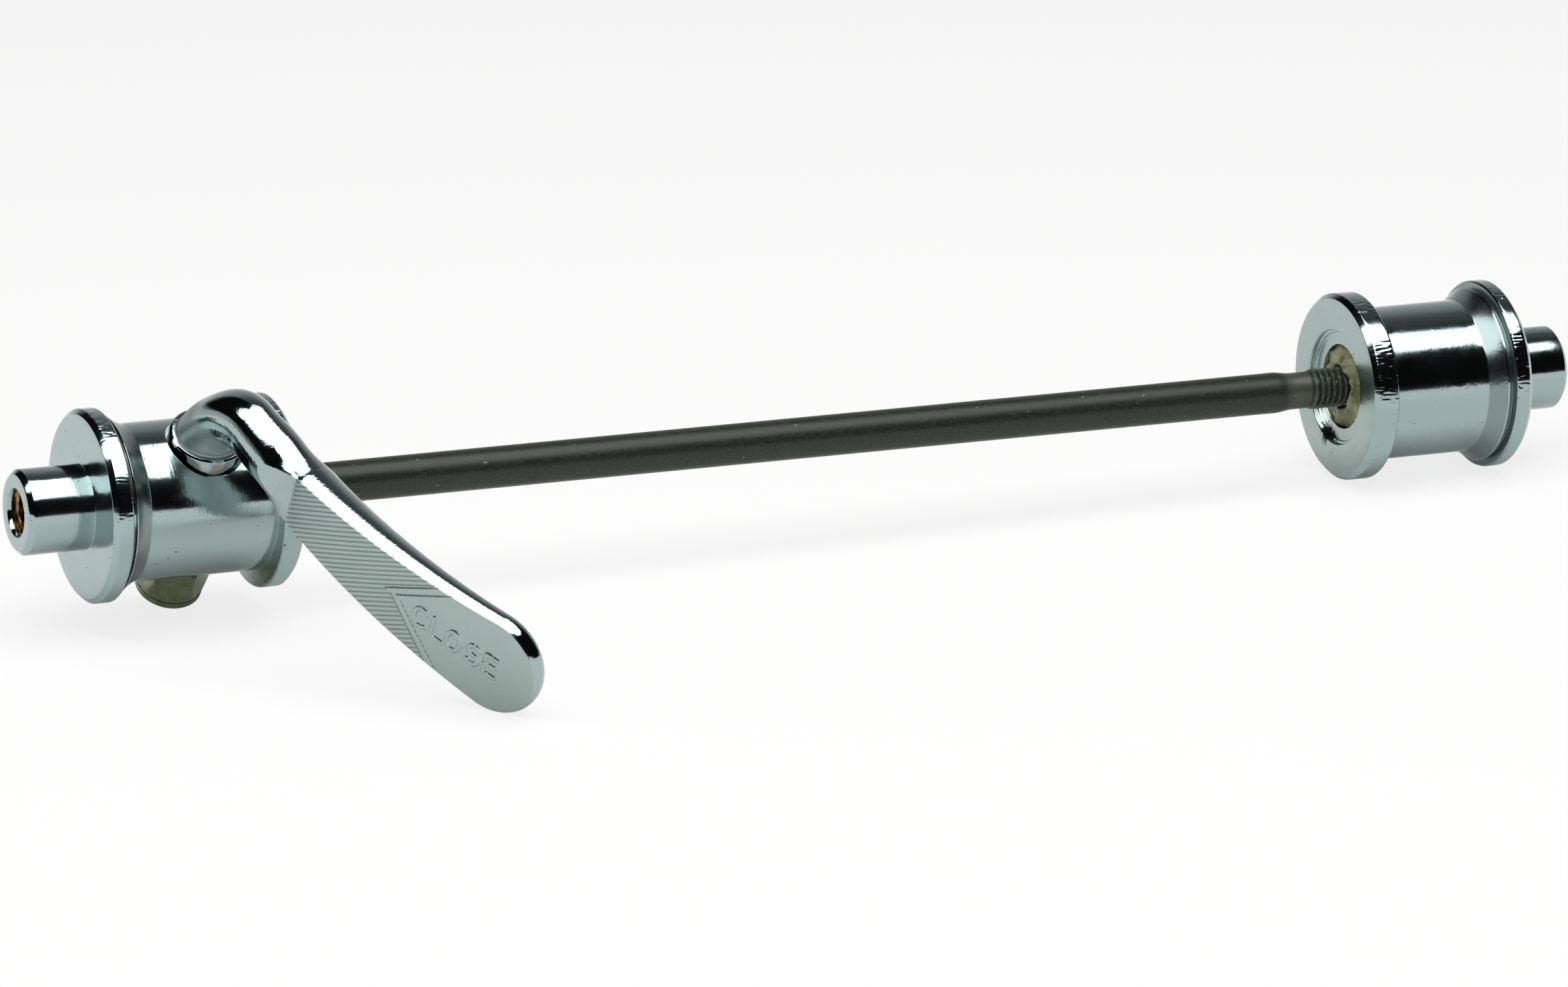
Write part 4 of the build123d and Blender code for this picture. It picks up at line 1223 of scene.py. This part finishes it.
# %% Room
DARK = 0.006
ROOM = [(-180, 0.7), (-60, 0.7), (0, 0.25), (4, DARK), (45, DARK), (60, 0.02), (104, 0.07), (118, 0.1),
        (128, 0.16), (140, 0.32), (152, 0.4), (164, 0.51), (176, 0.64), (180, 0.7)]
world = bpy.data.worlds.new("room")
bpy.context.scene.world = world
world.use_nodes = True
tree = world.node_tree
tree.nodes.clear()
look = add(tree, "TexCoord").outputs["Generated"]
axes = add(tree, "SeparateXYZ", {"Vector": look}).outputs
front = add(tree, "Math", {0: axes["Y"], 1: -1.0}, operation="MULTIPLY")
round_rod = add(tree, "Math", {0: axes["Z"], 1: front}, operation="ARCTAN2")
turn = add(tree, "Math", {0: round_rod, 1: 1 / (2 * pi), 2: 0.5}, operation="MULTIPLY_ADD")
ramp = add(tree, "ValToRGB", {"Fac": turn})
for _ in ROOM[2:]:
    ramp.color_ramp.elements.new(0.5)
for element, (angle, bright) in zip(ramp.color_ramp.elements, ROOM):
    element.position = angle / 360 + 0.5
    element.color = (bright, bright, bright, 1)
flat_look = add(tree, "VectorMath", {0: look, 1: (1, 1, 0)}, operation="MULTIPLY")
level_look = add(tree, "VectorMath", {0: flat_look}, operation="NORMALIZE")
to_back = add(tree, "SeparateXYZ", {"Vector": level_look}).outputs
edges = (to_back["Y"], 0.15, 0.55), (to_back["X"], -0.3, 0.0), (axes["Z"], 0.2, 0.13)
behind, right, low = (add(tree, "MapRange", {"Value": value, "From Min": start, "From Max": end},
                          interpolation_type="SMOOTHSTEP") for value, start, end in edges)
reached = add(tree, "Math", {0: right, 1: low}, operation="MAXIMUM")
shown = add(tree, "Math", {0: behind, 1: reached}, operation="MULTIPLY")
faded = add(tree, "Mix", {"Factor": shown, "A": (DARK, DARK, DARK, 1), "B": ramp}, data_type="RGBA")
backdrop = add(tree, "Background", {"Color": faded, "Strength": 1.0})
add(tree, "OutputWorld", {"Surface": backdrop})
print("room stops", len(ROOM))

# %% [markdown]
# The camera stands far off with a long lens, as the flat perspective of the two spools shows. Its place
# and turn were fitted to the outlines of the rod and the rims.

# %% Camera
CAMERA_PLACE = (-501.167, -1263.339, 367.601)
CAMERA_AXES = [(0.91403, -0.40520, 0.01898), (0.08901, 0.24600, 0.96517), (-0.39576, -0.88051, 0.26092)]
LENS = 272.39

camera_data = bpy.data.cameras.new("camera")
camera_data.lens = LENS
camera_data.sensor_width = 36.0
camera_data.sensor_fit = "HORIZONTAL"
camera_data.clip_end = 100.0
camera = bpy.data.objects.new("camera", camera_data)
bpy.context.collection.objects.link(camera)
camera.matrix_world = Matrix.Translation(np.array(CAMERA_PLACE) / MM) @ Matrix(
    np.array(CAMERA_AXES).T.tolist()).to_4x4()
bpy.context.scene.camera = camera
bpy.context.scene.view_settings.view_transform = "Standard"
print("lens", LENS, "mm")
